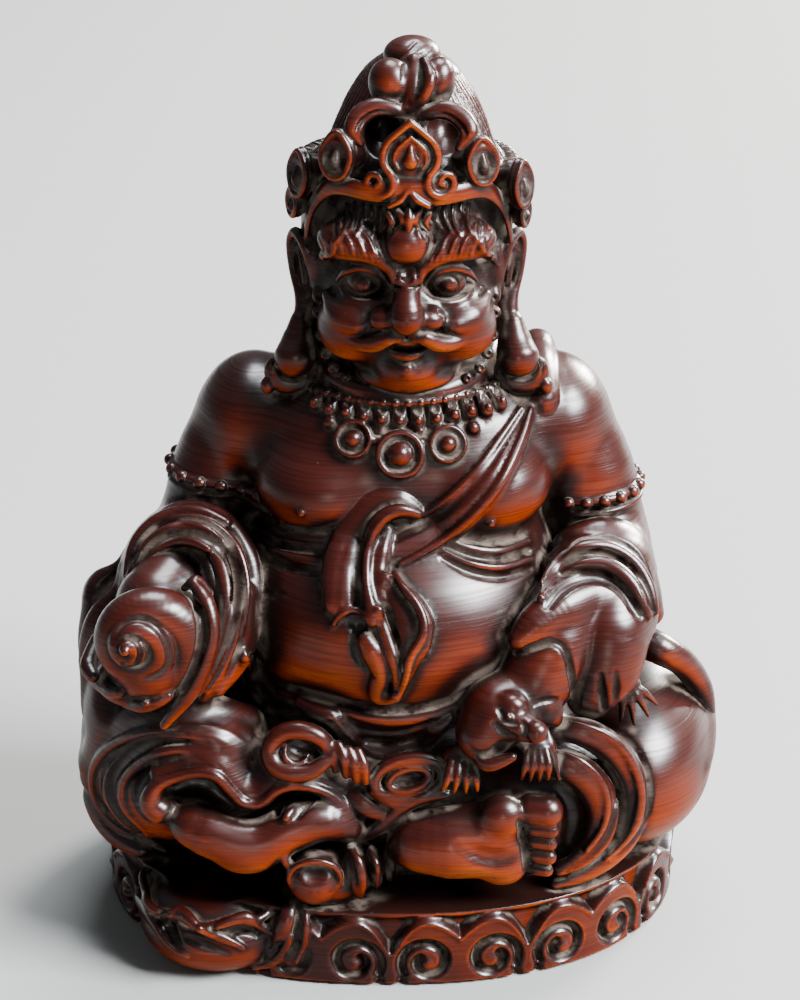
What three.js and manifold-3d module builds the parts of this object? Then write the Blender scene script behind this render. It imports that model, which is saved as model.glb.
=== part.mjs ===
// A seated Jambhala with a mongoose and a conch, carved from one block of boxwood together with its base.
// Millimetres, +Z up. The face looks towards -Y, and left and right in the comments are the viewer's.
import * as THREE from "three";
import { mergeVertices } from "three/addons/utils/BufferGeometryUtils.js";
import Module from "manifold-3d";

const wasm = await Module();
wasm.setup();

// Driving dimensions
const baseMiddle = -1.3;
const baseHalfWidth = 33;
const baseHalfDepth = 25.6;
const baseHeight = 9.2;
const baseTaper = 0.955;
const baseSquareness = 2.25;
const cloudPitch = 15.2;
const cloudReliefRadius = 1.15;
const crownRadius = 11.2;
const crownBandHeight = 84.4;
const armletRadius = 5.8;
const armletBeads = 6;
const beadRadius = 0.85;
const foldRadius = 1.5;
const shortestEdge = 0.9;
const woodColour = 0x6e2a12;

const point = (p) => new THREE.Vector3(p[0], p[1], p[2]);
const degrees = Math.PI / 180;

// A closed geometry as a manifold solid, its shared vertices merged and collapsed triangles dropped.
function solid(geometry) {
  const bare = new THREE.BufferGeometry();
  bare.setAttribute("position", geometry.getAttribute("position"));
  bare.setIndex(geometry.index);
  const merged = mergeVertices(bare, 1e-3);
  const corners = merged.index.array;
  const kept = [];
  for (let i = 0; i < corners.length; i += 3) {
    const [a, b, c] = [corners[i], corners[i + 1], corners[i + 2]];
    if (a !== b && b !== c && c !== a) kept.push(a, b, c);
  }
  return new wasm.Manifold(
    new wasm.Mesh({
      numProp: 3,
      vertProperties: merged.getAttribute("position").array,
      triVerts: new Uint32Array(kept),
    }),
  );
}

const forms = [];
const hollows = [];

// Keeps a geometry as one of the forms, wound so that its faces look outwards.
function add(geometry, list = forms) {
  const made = solid(geometry);
  if (made.volume() > 0) return list.push(made);
  const index = geometry.index.array;
  for (let i = 0; i < index.length; i += 3) [index[i + 1], index[i + 2]] = [index[i + 2], index[i + 1]];
  return list.push(solid(geometry));
}

// An egg: radii along its own axes, turned about X, Y and Z in degrees. pointed draws its top to a tip.
function egg(centre, radii, { turn = [0, 0, 0], wide = 7, tall = 5, pointed = 0, list = forms } = {}) {
  const shape = new THREE.SphereGeometry(1, wide, tall).rotateX(Math.PI / 2);
  const place = shape.getAttribute("position");
  for (let i = 0; i < place.count; i++) {
    const up = Math.max(0, place.getZ(i));
    const waist = 1 - pointed * up * up;
    place.setXYZ(i, place.getX(i) * waist, place.getY(i) * waist, place.getZ(i));
  }
  shape.scale(...radii);
  const euler = new THREE.Euler(turn[0] * degrees, turn[1] * degrees, turn[2] * degrees);
  shape.applyMatrix4(new THREE.Matrix4().makeRotationFromEuler(euler));
  add(shape.translate(...centre), list);
}

// A number read from a list at a share of its length, with straight runs between the entries.
function along(list, share) {
  const at = share * (list.length - 1);
  const low = Math.min(Math.floor(at), list.length - 2);
  return THREE.MathUtils.lerp(list[low], list[low + 1], at - low);
}

// A round-ended limb on a smooth curve. radii are read along it, and flat squeezes it towards the point core.
function limb(points, radii, { sides = 4, steps = points.length + 1, flat = 1, core = [0, 4, 40] } = {}) {
  const widths = radii.length > 1 ? radii : [radii[0], radii[0]];
  const curve = new THREE.CatmullRomCurve3(points.map(point));
  const length = curve.getLength();
  const tube = new THREE.CylinderGeometry(1, 1, 1, sides, steps, true);
  const place = tube.getAttribute("position");
  for (let i = 0; i < place.count; i++) {
    const even = 0.5 - place.getY(i);
    const share = even - 0.09 * Math.sin(2 * Math.PI * even);
    const radius = along(widths, share);
    const fromEnd = Math.min(share, 1 - share) * length;
    const cap = fromEnd < radius ? Math.sqrt(Math.max(0, 1 - (1 - fromEnd / radius) ** 2)) : 1;
    const centre = curve.getPointAt(share);
    const forward = curve.getTangentAt(share);
    const out = centre.clone().sub(point(core));
    out.addScaledVector(forward, -out.dot(forward)).normalize();
    const side = new THREE.Vector3().crossVectors(out, forward);
    centre.addScaledVector(side, place.getX(i) * radius * cap);
    centre.addScaledVector(out, place.getZ(i) * radius * cap * flat);
    place.setXYZ(i, centre.x, centre.y, centre.z);
  }
  add(tube);
}

// A round disc with steps cut by a profile of [radius, height] pairs, its axis turned from +Z to facing.
function turned(profile, centre, facing, sides = 8) {
  const shape = new THREE.LatheGeometry(profile.map((p) => new THREE.Vector2(p[0], p[1])), sides);
  shape.rotateX(Math.PI / 2);
  const upwards = new THREE.Vector3(0, 0, 1);
  const swing = new THREE.Quaternion().setFromUnitVectors(upwards, point(facing).normalize());
  shape.applyQuaternion(swing).translate(...centre);
  add(shape);
}

// An upright body from level outlines, each given as [height, middle, half width, front, back].
function loft(levels, sides) {
  const rings = levels.length - 1;
  const shape = new THREE.CylinderGeometry(1, 1, 1, sides, rings).rotateX(Math.PI / 2);
  const place = shape.getAttribute("position");
  for (let i = 0; i < place.count; i++) {
    const [height, middle, halfWidth, front, back] = levels[Math.round((place.getZ(i) + 0.5) * rings)];
    const depth = (back - front) / 2;
    const x = middle + halfWidth * place.getX(i);
    place.setXYZ(i, x, (front + back) / 2 + depth * place.getY(i), height);
  }
  add(shape);
}

// A point of the base's oval at an angle from +X.
function ovalPoint(angle, scale = 1) {
  const c = Math.cos(angle);
  const s = Math.sin(angle);
  const power = 2 / baseSquareness;
  const x = scale * baseHalfWidth * Math.sign(c) * Math.abs(c) ** power;
  const y = scale * baseHalfDepth * Math.sign(s) * Math.abs(s) ** power;
  return { x: baseMiddle + x, y };
}

// The base: an oval block that narrows downwards, on a low foot.
function base() {
  const rings = [
    [0, baseTaper],
    [1.2, baseTaper + 0.008],
    [1.4, baseTaper - 0.02],
    [baseHeight - 1.4, 0.97],
    [baseHeight - 1.0, 1],
    [baseHeight, 1],
  ];
  const around = 32;
  const block = new THREE.CylinderGeometry(1, 1, 1, around, rings.length - 1);
  const place = block.getAttribute("position");
  for (let i = 0; i < place.count; i++) {
    const ring = rings[Math.round((place.getY(i) + 0.5) * (rings.length - 1))];
    const onEdge = Math.hypot(place.getX(i), place.getZ(i));
    const p = ovalPoint(Math.atan2(place.getZ(i), place.getX(i)), ring[1] * onEdge);
    place.setXYZ(i, onEdge > 0.5 ? p.x : baseMiddle, onEdge > 0.5 ? p.y : 0, ring[0]);
  }
  add(block);
}

// Cloud scrolls round the base: each has two lobes that meet in a notch and curl inwards below.
const cloudHook = [
  [0, 0.6],
  [-1.6, 2.2],
  [-4, 2.8],
  [-6.2, 1.4],
  [-6.6, -1.2],
  [-5, -3],
  [-3, -2.2],
  [-3.2, -0.5],
];
function clouds() {
  const perimeter = [0];
  const samples = 720;
  for (let i = 1; i <= samples; i++) {
    const a = ovalPoint(((i - 1) / samples) * 2 * Math.PI);
    const b = ovalPoint((i / samples) * 2 * Math.PI);
    perimeter.push(perimeter[i - 1] + Math.hypot(a.x - b.x, a.y - b.y));
  }
  const count = Math.round(perimeter[samples] / cloudPitch);
  const pitch = perimeter[samples] / count;
  const middle = baseHeight * 0.5;
  const onWall = (u, w) => {
    const run = (u + 2 * perimeter[samples]) % perimeter[samples];
    const i = perimeter.findIndex((d) => d > run);
    const angle = ((i - (perimeter[i] - run) / (perimeter[i] - perimeter[i - 1])) / samples) * 2 * Math.PI;
    const spread = baseTaper - 0.012 + (0.03 * (middle + w)) / baseHeight;
    const p = ovalPoint(angle, spread);
    return [p.x, p.y, middle + w];
  };
  const dishFrom = 3.62;
  const dishTo = 4.38;
  for (let k = 0; k < count; k++) {
    const centre = (k + 0.5) * pitch;
    const angle = (centre / perimeter[samples]) * 2 * Math.PI;
    if (angle > dishFrom && angle < dishTo) continue;
    for (const side of [-1, 1]) {
      const hook = cloudHook.map(([u, w]) => onWall(centre + side * u, w));
      limb(hook, [cloudReliefRadius], { steps: 8, core: [0, 0, middle] });
    }
  }
}

// The curled lotus leaf under the foot: a dish that stands out of the base at the front left.
const leafMiddle = [-20.4, -17.4];
const leafHalfWidth = 9.2;
const leafDepthShare = 0.9;
function lotusLeaf() {
  const outside = [[0, 0.4], [6.2, 0.6], [8, 3], [leafHalfWidth, 7], [9, 8.4]];
  const inside = [[8, 8.6], [6.9, 7.2], [0, 6.6]];
  const wall = [...outside, ...inside];
  const dish = new THREE.LatheGeometry(wall.map((p) => new THREE.Vector2(p[0], p[1])), 14);
  dish.rotateX(Math.PI / 2).scale(1, leafDepthShare, 1);
  add(dish.translate(...leafMiddle, 0));
  egg([...leafMiddle, 9.8], [7.1, 6.6, 2.8], { wide: 10, list: hollows });
  const onRim = (turn, reach, z) => [
    leafMiddle[0] + reach * Math.cos(Math.PI * turn),
    leafMiddle[1] + leafDepthShare * reach * Math.sin(Math.PI * turn),
    z,
  ];
  const ripple = (turn) => 8.6 + 0.6 * Math.sin(14 * turn);
  const lip = [0.95, 1.1, 1.25, 1.4, 1.55, 1.7, 1.85, 2].map((turn) => onRim(turn, 8.7, ripple(turn)));
  limb(lip, [0.8, 1.2, 0.8], { steps: 11, core: [...leafMiddle, 8] });
  for (const turn of [1.12, 1.3, 1.48, 1.66, 1.84]) {
    limb(
      [onRim(turn, 9, 7.6), onRim(turn + 0.02, 8.3, 4.2), onRim(turn + 0.04, 6.5, 1.4)],
      [0.9],
      { sides: 3, core: [...leafMiddle, 4] },
    );
  }
}

function legsAndSeat() {
  egg([-24.6, -3.5, 18.6], [11.4, 15.5, 10.6], { wide: 12, tall: 8 });
  egg([-20.5, -12, 19.4], [11, 9.4, 7.4], { wide: 10, tall: 7 });
  egg([25.2, -2.5, 18.4], [10.5, 15.5, 10.8], { wide: 13, tall: 9 });
  egg([13, -11, 17.5], [12, 11.5, 8.6], { wide: 9, tall: 6 });
  // Left leg's cloth: three nested folds, then the wavy hem over the foot.
  limb(
    [
      [-12, -18, 24.4], [-16.7, -18.4, 26], [-22.5, -17.6, 27.2], [-28.4, -14.6, 25.6],
      [-32.9, -9.6, 21.8], [-33.6, -8.6, 17.8], [-32, -10.4, 13.6], [-27, -14, 11.4],
    ],
    [foldRadius, 2.1, 1.7],
  );
  limb(
    [
      [-12, -19.4, 22.8], [-16.2, -20, 24.4], [-21.6, -19.4, 25.2], [-27.2, -16.4, 23.4],
      [-30.4, -13.6, 19.8], [-30, -14, 15.8], [-26, -16, 13],
    ],
    [1.3, 1.9, 1.5],
  );
  limb(
    [
      [-15, -20, 22.4], [-20.4, -20.4, 23.2], [-25.2, -18.6, 21.6], [-27.6, -17.2, 18.6],
      [-25.4, -17.8, 15],
    ],
    [1.2, 1.8, 1.4],
  );
  limb(
    [
      [-26.8, -18.8, 19.6], [-25.4, -20, 21.6], [-22.4, -21, 22.6], [-19.2, -21.2, 21.8], [-17, -21, 20.2],
      [-13.7, -21, 21.6], [-10.4, -21, 21.8], [-6.4, -20.2, 19],
    ],
    [1.5, 1.2, 1.3, 1.1],
    { steps: 11 },
  );
  // Right leg's cloth: two nested cuffs round the shin.
  limb(
    [
      [12, -19, 26], [16.9, -18.8, 25.8], [20.6, -17.4, 24], [23.2, -15.8, 20.6], [24, -15.4, 16.8],
      [22.8, -16.4, 13], [19, -18.6, 10.8],
    ],
    [1.5, 2.2, 1.9],
  );
  limb(
    [[14.4, -20.4, 23.8], [17.4, -20.4, 23], [19.8, -19.6, 20.6], [20, -19.4, 16.8], [18, -20.4, 13.2]],
    [1.3, 1.9, 1.5],
  );
}

// The left foot: a smooth sole with its heel low, resting on a small conch.
function restingFoot() {
  limb(
    [
      [-22, -20.4, 18.4], [-19.2, -21.2, 16.8], [-15.6, -21.6, 17], [-10.4, -20.8, 18.4],
      [-6.4, -19.6, 18.8],
    ],
    [2.4, 3.6, 3.4, 2.8, 2.2],
    { sides: 8, steps: 7 },
  );
  egg([-17.8, -21.4, 15.6], [2.9, 2.6, 2.8]);
  turned(
    [[0, 0], [3.1, 0], [3.6, 1.2], [3.5, 2.2], [2.4, 2.6], [0, 1.6]],
    [-8.2, -21.8, 12.6],
    [-0.35, -0.86, 0.36],
    10,
  );
  for (const [k, ridge] of [3.3, 2.9, 2.3].entries()) {
    egg([-5.8 + 2 * k, -21 + 0.6 * k, 12.6 + 0.3 * k], [1.2, 2.6, ridge], { turn: [0, -8, 0] });
  }
}

// The right foot: the sole faces forward, the heel on the left and five toes down its right side.
function turnedFoot() {
  limb(
    [[-0.4, -21.4, 15.4], [3.6, -22.4, 15.8], [8, -22.6, 16.4], [13.4, -22, 16.4]],
    [3.4, 4.6, 5.4, 5.6],
    { sides: 9, steps: 6, flat: 0.75 },
  );
  egg([9.4, -23.4, 18.6], [3.4, 2.4, 2.8]);
  const toes = [
    [14.4, 20.4, 1.9],
    [15.6, 17.5, 1.35],
    [15.5, 15.2, 1.2],
    [15.2, 13.1, 1.1],
    [14.6, 11.2, 1],
  ];
  for (const [x, z, r] of toes) egg([x - 0.5, -22.8, z], [1.4 * r, 2.2, 1.12 * r], { wide: 6 });
}

// Seat, belly, breast and neck in one, from the ground up.
const trunkLevels = [
  [6, 0, 23, -17, 20],
  [16, 0, 25, -18, 21.2],
  [22, -0.4, 23.4, -18.2, 20.2],
  [26, -0.5, 19.6, -17.6, 17.8],
  [29, -0.5, 17, -18.2, 16.4],
  [32, -0.5, 18, -19.6, 16.2],
  [36, -0.5, 18.6, -20.3, 16.4],
  [40, -0.5, 18.4, -20, 16.8],
  [44, -0.4, 17.4, -17.8, 17.2],
  [47, -0.2, 16.2, -14.2, 17.4],
  [50, 0, 16.4, -13.6, 17.4],
  [55, 0, 17.4, -13.8, 16.6],
  [59.5, 0, 17.6, -12, 14.6],
  [63, 0, 13.6, -9.4, 12],
  [66, 0, 8, -7.4, 9],
  [70, 0.2, 6.6, -7, 8],
];

function torso() {
  loft(trunkLevels, 20);
  for (const side of [-1, 1]) {
    egg([side * 16.9, 2.6, 55.4], [6.9, 7.8, 7.2], { wide: 10, tall: 7 });
    limb(
      [[side * 17.4, 2.8, 55], [side * 21, 1.6, 49.6], [side * 23.2, 0.5, 43]],
      [6.4, 6.3, 5.8],
      { sides: 9, steps: 4 },
    );
    egg([side * 8.4, -5.6, 51.8], [8, 8, 5.6], { wide: 10, tall: 7 });
  }
}

// Beaded rings on the upper arms, each a cord that swells and narrows from bead to bead.
function armlets() {
  const turnFrom = -0.8;
  const turnTo = 2.4;
  const steps = 2 * armletBeads;
  for (const side of [-1, 1]) {
    const centre = [side * 20.4, 1.8, 50.6];
    const ring = [];
    for (let i = 0; i <= steps; i++) {
      const angle = turnFrom + ((turnTo - turnFrom) * i) / steps;
      const reach = armletRadius * Math.cos(angle);
      const forward = armletRadius * Math.sin(angle);
      ring.push([centre[0] + side * reach, centre[1] - forward, centre[2] + 0.22 * reach]);
    }
    const swell = ring.map((p, i) => (i % 2 ? 1.5 : 1) * beadRadius);
    limb(ring, swell, { steps, core: centre });
  }
}

// The sleeve on the left opens in three nested rims, with a conch and the hand in it.
function conchArm() {
  egg([-24, -5.4, 39.2], [9, 10.4, 9.6], { turn: [-20, 0, 0], wide: 11, tall: 8 });
  limb(
    [
      [-30.8, -5.6, 39.4], [-29.2, -5, 43.4], [-25.6, -5, 46.2], [-21.8, -6, 46.8], [-18.4, -8, 45.2],
      [-16.8, -10.4, 42], [-16.8, -13, 37.6], [-18.4, -15, 33.8], [-21.2, -16.6, 31],
    ],
    [1.3, 1.9, 2, 1.6],
  );
  limb(
    [
      [-29, -8.4, 42.2], [-26.2, -8.4, 45], [-22.4, -9.4, 45.6], [-19.4, -11.6, 43], [-18.8, -14.4, 38.6],
      [-20.2, -16.6, 34.4],
    ],
    [1, 1.5, 1.4],
  );
  limb(
    [
      [-24, -14.6, 43], [-21.6, -16, 42.2], [-20.6, -17.4, 39.2], [-21.2, -18.4, 35.4],
      [-22.8, -19.4, 31.8], [-24.6, -20, 29.2],
    ],
    [0.8, 1.2, 1.2, 1.4],
  );
  limb([[-27, -5, 40], [-28, -10.5, 41.4], [-28, -14, 40.6]], [5, 4.8, 4], { sides: 8, steps: 4 });
  // The shell winds outwards from its tip, which points at the viewer.
  const tip = [-29.2, -23.4, 38.4];
  const whorl = [];
  const turns = 2.6;
  const whorlSteps = 12;
  for (let i = 0; i <= whorlSteps; i++) {
    const share = i / whorlSteps;
    const angle = -0.9 + turns * 2 * Math.PI * share;
    const reach = 0.3 + 4.6 * share ** 1.25;
    const across = 2.6 * share - reach * Math.cos(angle);
    const up = -0.6 * share + reach * Math.sin(angle);
    whorl.push([tip[0] + across, tip[1] + 5.4 * share, tip[2] + up]);
  }
  limb(whorl, [1, 1.4, 1.9, 2.5, 2.9], { sides: 5, steps: 17, core: [-26, -8, 37] });
  egg([-26.8, -16.4, 37.6], [5.2, 6, 5.4]);
  const fingertips = [[-32.6, -18.6, 34.6], [-30.2, -20.8, 32.8], [-27.9, -21, 32.2], [-25.8, -20.6, 32.4]];
  for (const fingertip of fingertips) egg(fingertip, [1.4, 2, 1.3], { wide: 6, tall: 4 });
  egg([-28.5, -17, 33.2], [5, 5.4, 2.6]);
  // The sleeve hangs outside the wrist, and the scarf curls behind it.
  egg([-31.4, -4, 30.8], [5.4, 8.6, 8], { wide: 9, tall: 6 });
  egg([-32.4, -1, 38.6], [2.1, 2.6, 2.6]);
}

// The mongoose lies over the right forearm, its head down on the foot, a hind paw and the tail on the knee.
function mongoose() {
  limb([[24, 0, 43], [23, -6, 41], [21, -10, 39.4]], [5.8, 5.6, 4.8], { sides: 8, steps: 4 });
  egg([21.6, -5, 41], [6.4, 5.8, 5.6], { wide: 9, tall: 6 });
  egg([21.2, -10, 38.4], [6.4, 5.6, 5.6], { wide: 10, tall: 7 });
  limb(
    [[21, -10.4, 38], [17, -13.4, 36], [13.2, -16, 33], [11.4, -17.6, 30.2]],
    [5, 4.9, 4.3, 3.8],
    { sides: 9, steps: 5 },
  );
  limb([[22, -11.4, 38.6], [23.4, -13, 34.4], [22, -13.4, 29]], [4.6, 4, 2.5], { sides: 8, steps: 5 });
  limb([[16.4, -13.4, 41], [13.6, -16, 38.2], [12, -16.6, 36.4]], [2.6, 2.4, 1.6], { sides: 6, steps: 4 });
  egg([10.8, -19.4, 29], [4.5, 4, 4.4], { turn: [0, 28, 0], wide: 9, tall: 6 });
  egg([8.4, -21.4, 27.8], [2.6, 2.4, 2.6]);
  egg([13.6, -22.2, 28], [1.5, 1.7, 1.4], { wide: 5, tall: 4 });
  limb([[10.6, -21.4, 30], [12.4, -22.2, 28.8], [13.4, -22.4, 28.2]], [1.7, 1.5, 1.3]);
  egg([15.4, -18, 29.6], [1.5, 1.1, 1.9], { turn: [0, 20, 0], wide: 5, tall: 4 });
  for (const [x, z, lean] of [[6.4, 24.4, 0.3], [14.4, 25.4, -0.2]]) {
    egg([x + 0.5 * lean, -19.8, z + 0.6], [2.7, 2.4, 2.7], { wide: 6 });
    for (let k = 0; k < 3; k++) {
      const across = (k - 1) * 1.6;
      limb(
        [
          [x + across, -20.8, z + 1.3], [x + 1.2 * across + lean, -21.8, z],
          [x + 1.3 * across + lean, -22.2, z - 1.9],
        ],
        [0.8, 1, 0.7],
      );
    }
  }
  egg([25, -12, 28.4], [3, 1.8, 1.8], { turn: [0, 20, 0], wide: 6 });
  limb(
    [[24, -6, 34], [27, -6.6, 31.4], [30.4, -5, 29.4], [33.4, -2.4, 25.8], [34.6, -0.6, 20.6]],
    [2, 1.7, 1.4, 1],
  );
  // The scarf looped over the forearm.
  limb(
    [
      [15.4, -9, 43], [18.2, -8.6, 45.8], [21.4, -7.8, 45.8], [24.4, -6.6, 43], [26.6, -6.2, 39],
      [27, -6.4, 35.6],
    ],
    [1.2, 1.9, 2.1, 1.9],
  );
  limb(
    [[16, -11, 42.4], [18.6, -11.4, 44.2], [21.6, -10.8, 44.2], [24.6, -9, 41.2], [26.4, -8.4, 37.2]],
    [0.9, 1.2, 1.1],
  );
}

function necklaceAndSash() {
  const strand = (angle, radius, z) => [radius * Math.sin(angle), 1.2 - 1.12 * radius * Math.cos(angle), z];
  const collar = [-1.2, -0.8, -0.4, 0, 0.4, 0.8, 1.2].map((angle) => strand(angle, 9.4, 63.6 + angle ** 2));
  limb(collar, [2], { core: [0, 2, 66] });
  const medallion = [[0, -1.6], [2.6, -1.6], [2.6, 0.1], [1.7, 0.5], [1.3, 0.1], [0, 1.2]];
  turned(medallion, [-0.3, -12.2, 58], [0, -0.94, 0.3]);
  for (const [x, z] of [[-5.3, 59.2], [4.6, 58.8]]) {
    turned(medallion.map(([r, h]) => [0.85 * r, 0.85 * h]), [x, -11.6, z], [x * 0.04, -0.94, 0.3], 7);
  }
  // The sash crosses from the right shoulder to a knot on the chest, with two hanging ends.
  limb(
    [
      [15, 0, 62.4], [13.8, -6.6, 59.8], [10.8, -11, 57.4], [7.8, -13.2, 54.8], [4.6, -14.2, 52],
      [0.8, -15.4, 50.2],
    ],
    [2.2, 2.1, 2.1, 2.3],
    { sides: 5, steps: 8, flat: 0.6 },
  );
  limb(
    [
      [2.6, -14.6, 52.4], [-0.8, -15.6, 53.4], [-3.6, -16, 52], [-5, -17.2, 48.4], [-5.8, -19, 44.6],
      [-5.6, -20, 41.4],
    ],
    [1.2, 1.7, 2, 2.1],
    { sides: 5, steps: 8, flat: 0.6 },
  );
  limb(
    [
      [-2, -16.6, 50.6], [-2.2, -18, 46.6], [-0.8, -19.6, 43], [0.8, -20.3, 39.6], [-0.2, -20.4, 36],
      [-0.6, -20, 33.2],
    ],
    [1, 1.3, 2.1, 2.3, 1.3],
    { sides: 5, steps: 8, flat: 0.6 },
  );
}

// The waistband under the belly and its bow.
function belt() {
  limb(
    [
      [-18, -9, 33.4], [-15, -14.4, 29.8], [-10.6, -17.2, 27.4], [-4.4, -18.8, 26], [0.6, -18.9, 26.2],
      [6.2, -17.4, 28.4],
    ],
    [1.3, 1.7, 1.8, 1.5],
    { steps: 9 },
  );
  limb(
    [[-12.2, -16.6, 30], [-7.8, -18.8, 28.4], [-3.4, -19.6, 27.8], [1.2, -19.4, 28.2], [5.4, -17.6, 29.6]],
    [0.8],
  );
  const loop = (cx, cz, rx, rz) => {
    const ring = [];
    for (let i = 0; i <= 8; i++) {
      const angle = (i / 8) * 2 * Math.PI * 0.97;
      ring.push([cx + rx * Math.cos(angle), -18.6 - 0.4 * Math.cos(angle), cz + rz * Math.sin(angle)]);
    }
    limb(ring, [1.2], { steps: 9 });
  };
  egg([-3, -15, 21.5], [13, 4.6, 4.6]);
  loop(-11.4, 24.2, 2.7, 1.9);
  loop(-0.2, 22.4, 2.9, 1.9);
  for (let k = 0; k < 4; k++) {
    const share = k / 3;
    egg(
      [-7.2 + 3.2 * share, -19.4, 25 - 2.6 * share],
      [0.6, 1.2, 1.9],
      { turn: [0, 30, 0], wide: 5, tall: 3 },
    );
  }
  limb([[-5.4, -18.6, 21.6], [-3.6, -19.4, 19.8], [-1, -19.4, 18.4]], [1.5, 1.7, 1]);
}

// The head and its tied-up hair, from the chin to under the bun.
const headLevels = [
  [64.2, 0.3, 3, -9.6, 4],
  [65.6, 0.3, 6.4, -12, 8],
  [68, 0.3, 9, -12.6, 10],
  [71, 0.3, 9.9, -12.2, 11],
  [75, 0.4, 9.9, -11.2, 11.8],
  [79, 0.4, 10.2, -10.8, 12],
  [83, 0.4, 10.4, -10.8, 12],
  [87, 0.7, 9.2, -8.6, 11.2],
  [90.4, 0.9, 7.6, -6, 10],
  [93.6, 1, 5.6, -3.8, 8],
  [96, 1, 3, -2, 5.4],
];

function head() {
  loft(headLevels, 18);
  for (const side of [-1, 1]) {
    egg([0.4 + side * 5.6, -7.4, 70.6], [4.4, 5, 4], { wide: 8, tall: 5 });
    egg([0.4 + side * 4.7, -10.4, 77.2], [2, 1.9, 1.7], { wide: 7, tall: 5 });
    egg([0.4 + side * 5.2, -10, 80.4], [3.2, 2.2, 1.6], { turn: [0, side * -14, 0], wide: 7, tall: 4 });
    limb([[0.4, -11.8, 73.2], [0.4 + side * 3.4, -11, 73], [0.4 + side * 6.4, -9, 74.4]], [1.2, 1.3, 0.8]);
    egg([0.4 + side * 1.8, -11.9, 74.9], [1.2, 1.5, 1], { wide: 5, tall: 3 });
    egg([0.4 + side * 10.8, 0, 74.6], [1.8, 3, 5], { wide: 6, tall: 5 });
    egg([0.4 + side * 11.2, -3.4, 66.6], [3, 3, 3.2], { wide: 8, tall: 6 });
    const hoop = [];
    for (let i = 0; i <= 6; i++) {
      const angle = Math.PI * (0.95 + (1.1 * i) / 6);
      hoop.push([0.4 + side * 12.2 + 3.6 * Math.cos(angle), -3.4, 65.4 + 3.4 * Math.sin(angle)]);
    }
    limb(hoop, [0.7, 1.3, 0.7], { steps: 5, core: [side * 12, -3, 66] });
  }
  limb([[0.4, -10.8, 79], [0.4, -12.4, 76.8], [0.4, -13.4, 75.2]], [1.5, 1.4, 1.9], { sides: 6, steps: 4 });
  egg([0.4, -10.6, 82], [2.9, 2.2, 2.4], { wide: 8, tall: 5 });
  egg([0.4, -11.6, 70.8], [3.2, 2, 1.3], { wide: 7, tall: 4 });
  egg([0.4, -10.2, 67], [3.8, 3.4, 2.6], { wide: 8, tall: 5 });
}

// A crown leaf: a pointed plate with a drop-shaped jewel, leaning outwards along its own facing.
function crownLeaf(azimuth, lift, halfWidth, halfHeight) {
  const out = [Math.sin(azimuth), -Math.cos(azimuth)];
  const turn = [-16, 0, azimuth / degrees];
  const place = (reach) => [0.6 + reach * out[0], 0.8 + reach * out[1], lift];
  egg(place(crownRadius - 1.6), [1.15 * halfWidth, 3, 1.1 * halfHeight], { turn, wide: 8, pointed: 0.25 });
  egg(
    place(crownRadius + 0.9),
    [0.45 * halfWidth, 1.2, 0.55 * halfHeight],
    { turn, wide: 5, tall: 3, pointed: 0.5 },
  );
}

function crown() {
  const band = [];
  const bandSteps = 16;
  for (let i = 0; i <= bandSteps; i++) {
    const angle = ((i / bandSteps) * 2 - 1) * Math.PI * 0.62;
    const arch = 0.9 * Math.abs(Math.sin(2.1 * angle));
    const dip = 3.4 * (1 - Math.cos(angle));
    band.push([0.5 + 10.9 * Math.sin(angle), 0.8 - 11.4 * Math.cos(angle), crownBandHeight + arch - dip]);
  }
  limb(band, [1, 1.4, 1.4, 1], { steps: 14, core: [0, 0, 84] });
  crownLeaf(0, 89.2, 2.9, 3.1);
  crownLeaf(-0.72, 88.2, 2.2, 2.9);
  crownLeaf(0.72, 88.2, 2.2, 2.9);
  crownLeaf(-1.35, 85.4, 2.1, 2.7);
  crownLeaf(1.35, 85.4, 2.1, 2.7);
  crownLeaf(-1.5, 81, 1.5, 1.9);
  crownLeaf(1.5, 81, 1.5, 1.9);
  // The tied-up hair, its front ornament and the bun on top.
  egg([0.8, -3.4, 92.2], [3.6, 3.4, 4.6]);
  for (const side of [-1, 1]) {
    egg([0.8 + side * 2, -4.6, 93.4], [1.9, 2.4, 3.4], { turn: [0, side * 12, 0], wide: 6 });
    limb(
      [
        [0.8 + side * 1.6, -6.4, 90.4], [0.8 + side * 3.6, -6, 91.4], [0.8 + side * 5.6, -5.8, 90],
        [0.8 + side * 6.2, -5.6, 87.4],
      ],
      [1, 1.3, 0.8],
      { steps: 4 },
    );
  }
  egg([0.8, 1, 97.4], [3.2, 2.8, 2.6], { wide: 8 });
}

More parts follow.
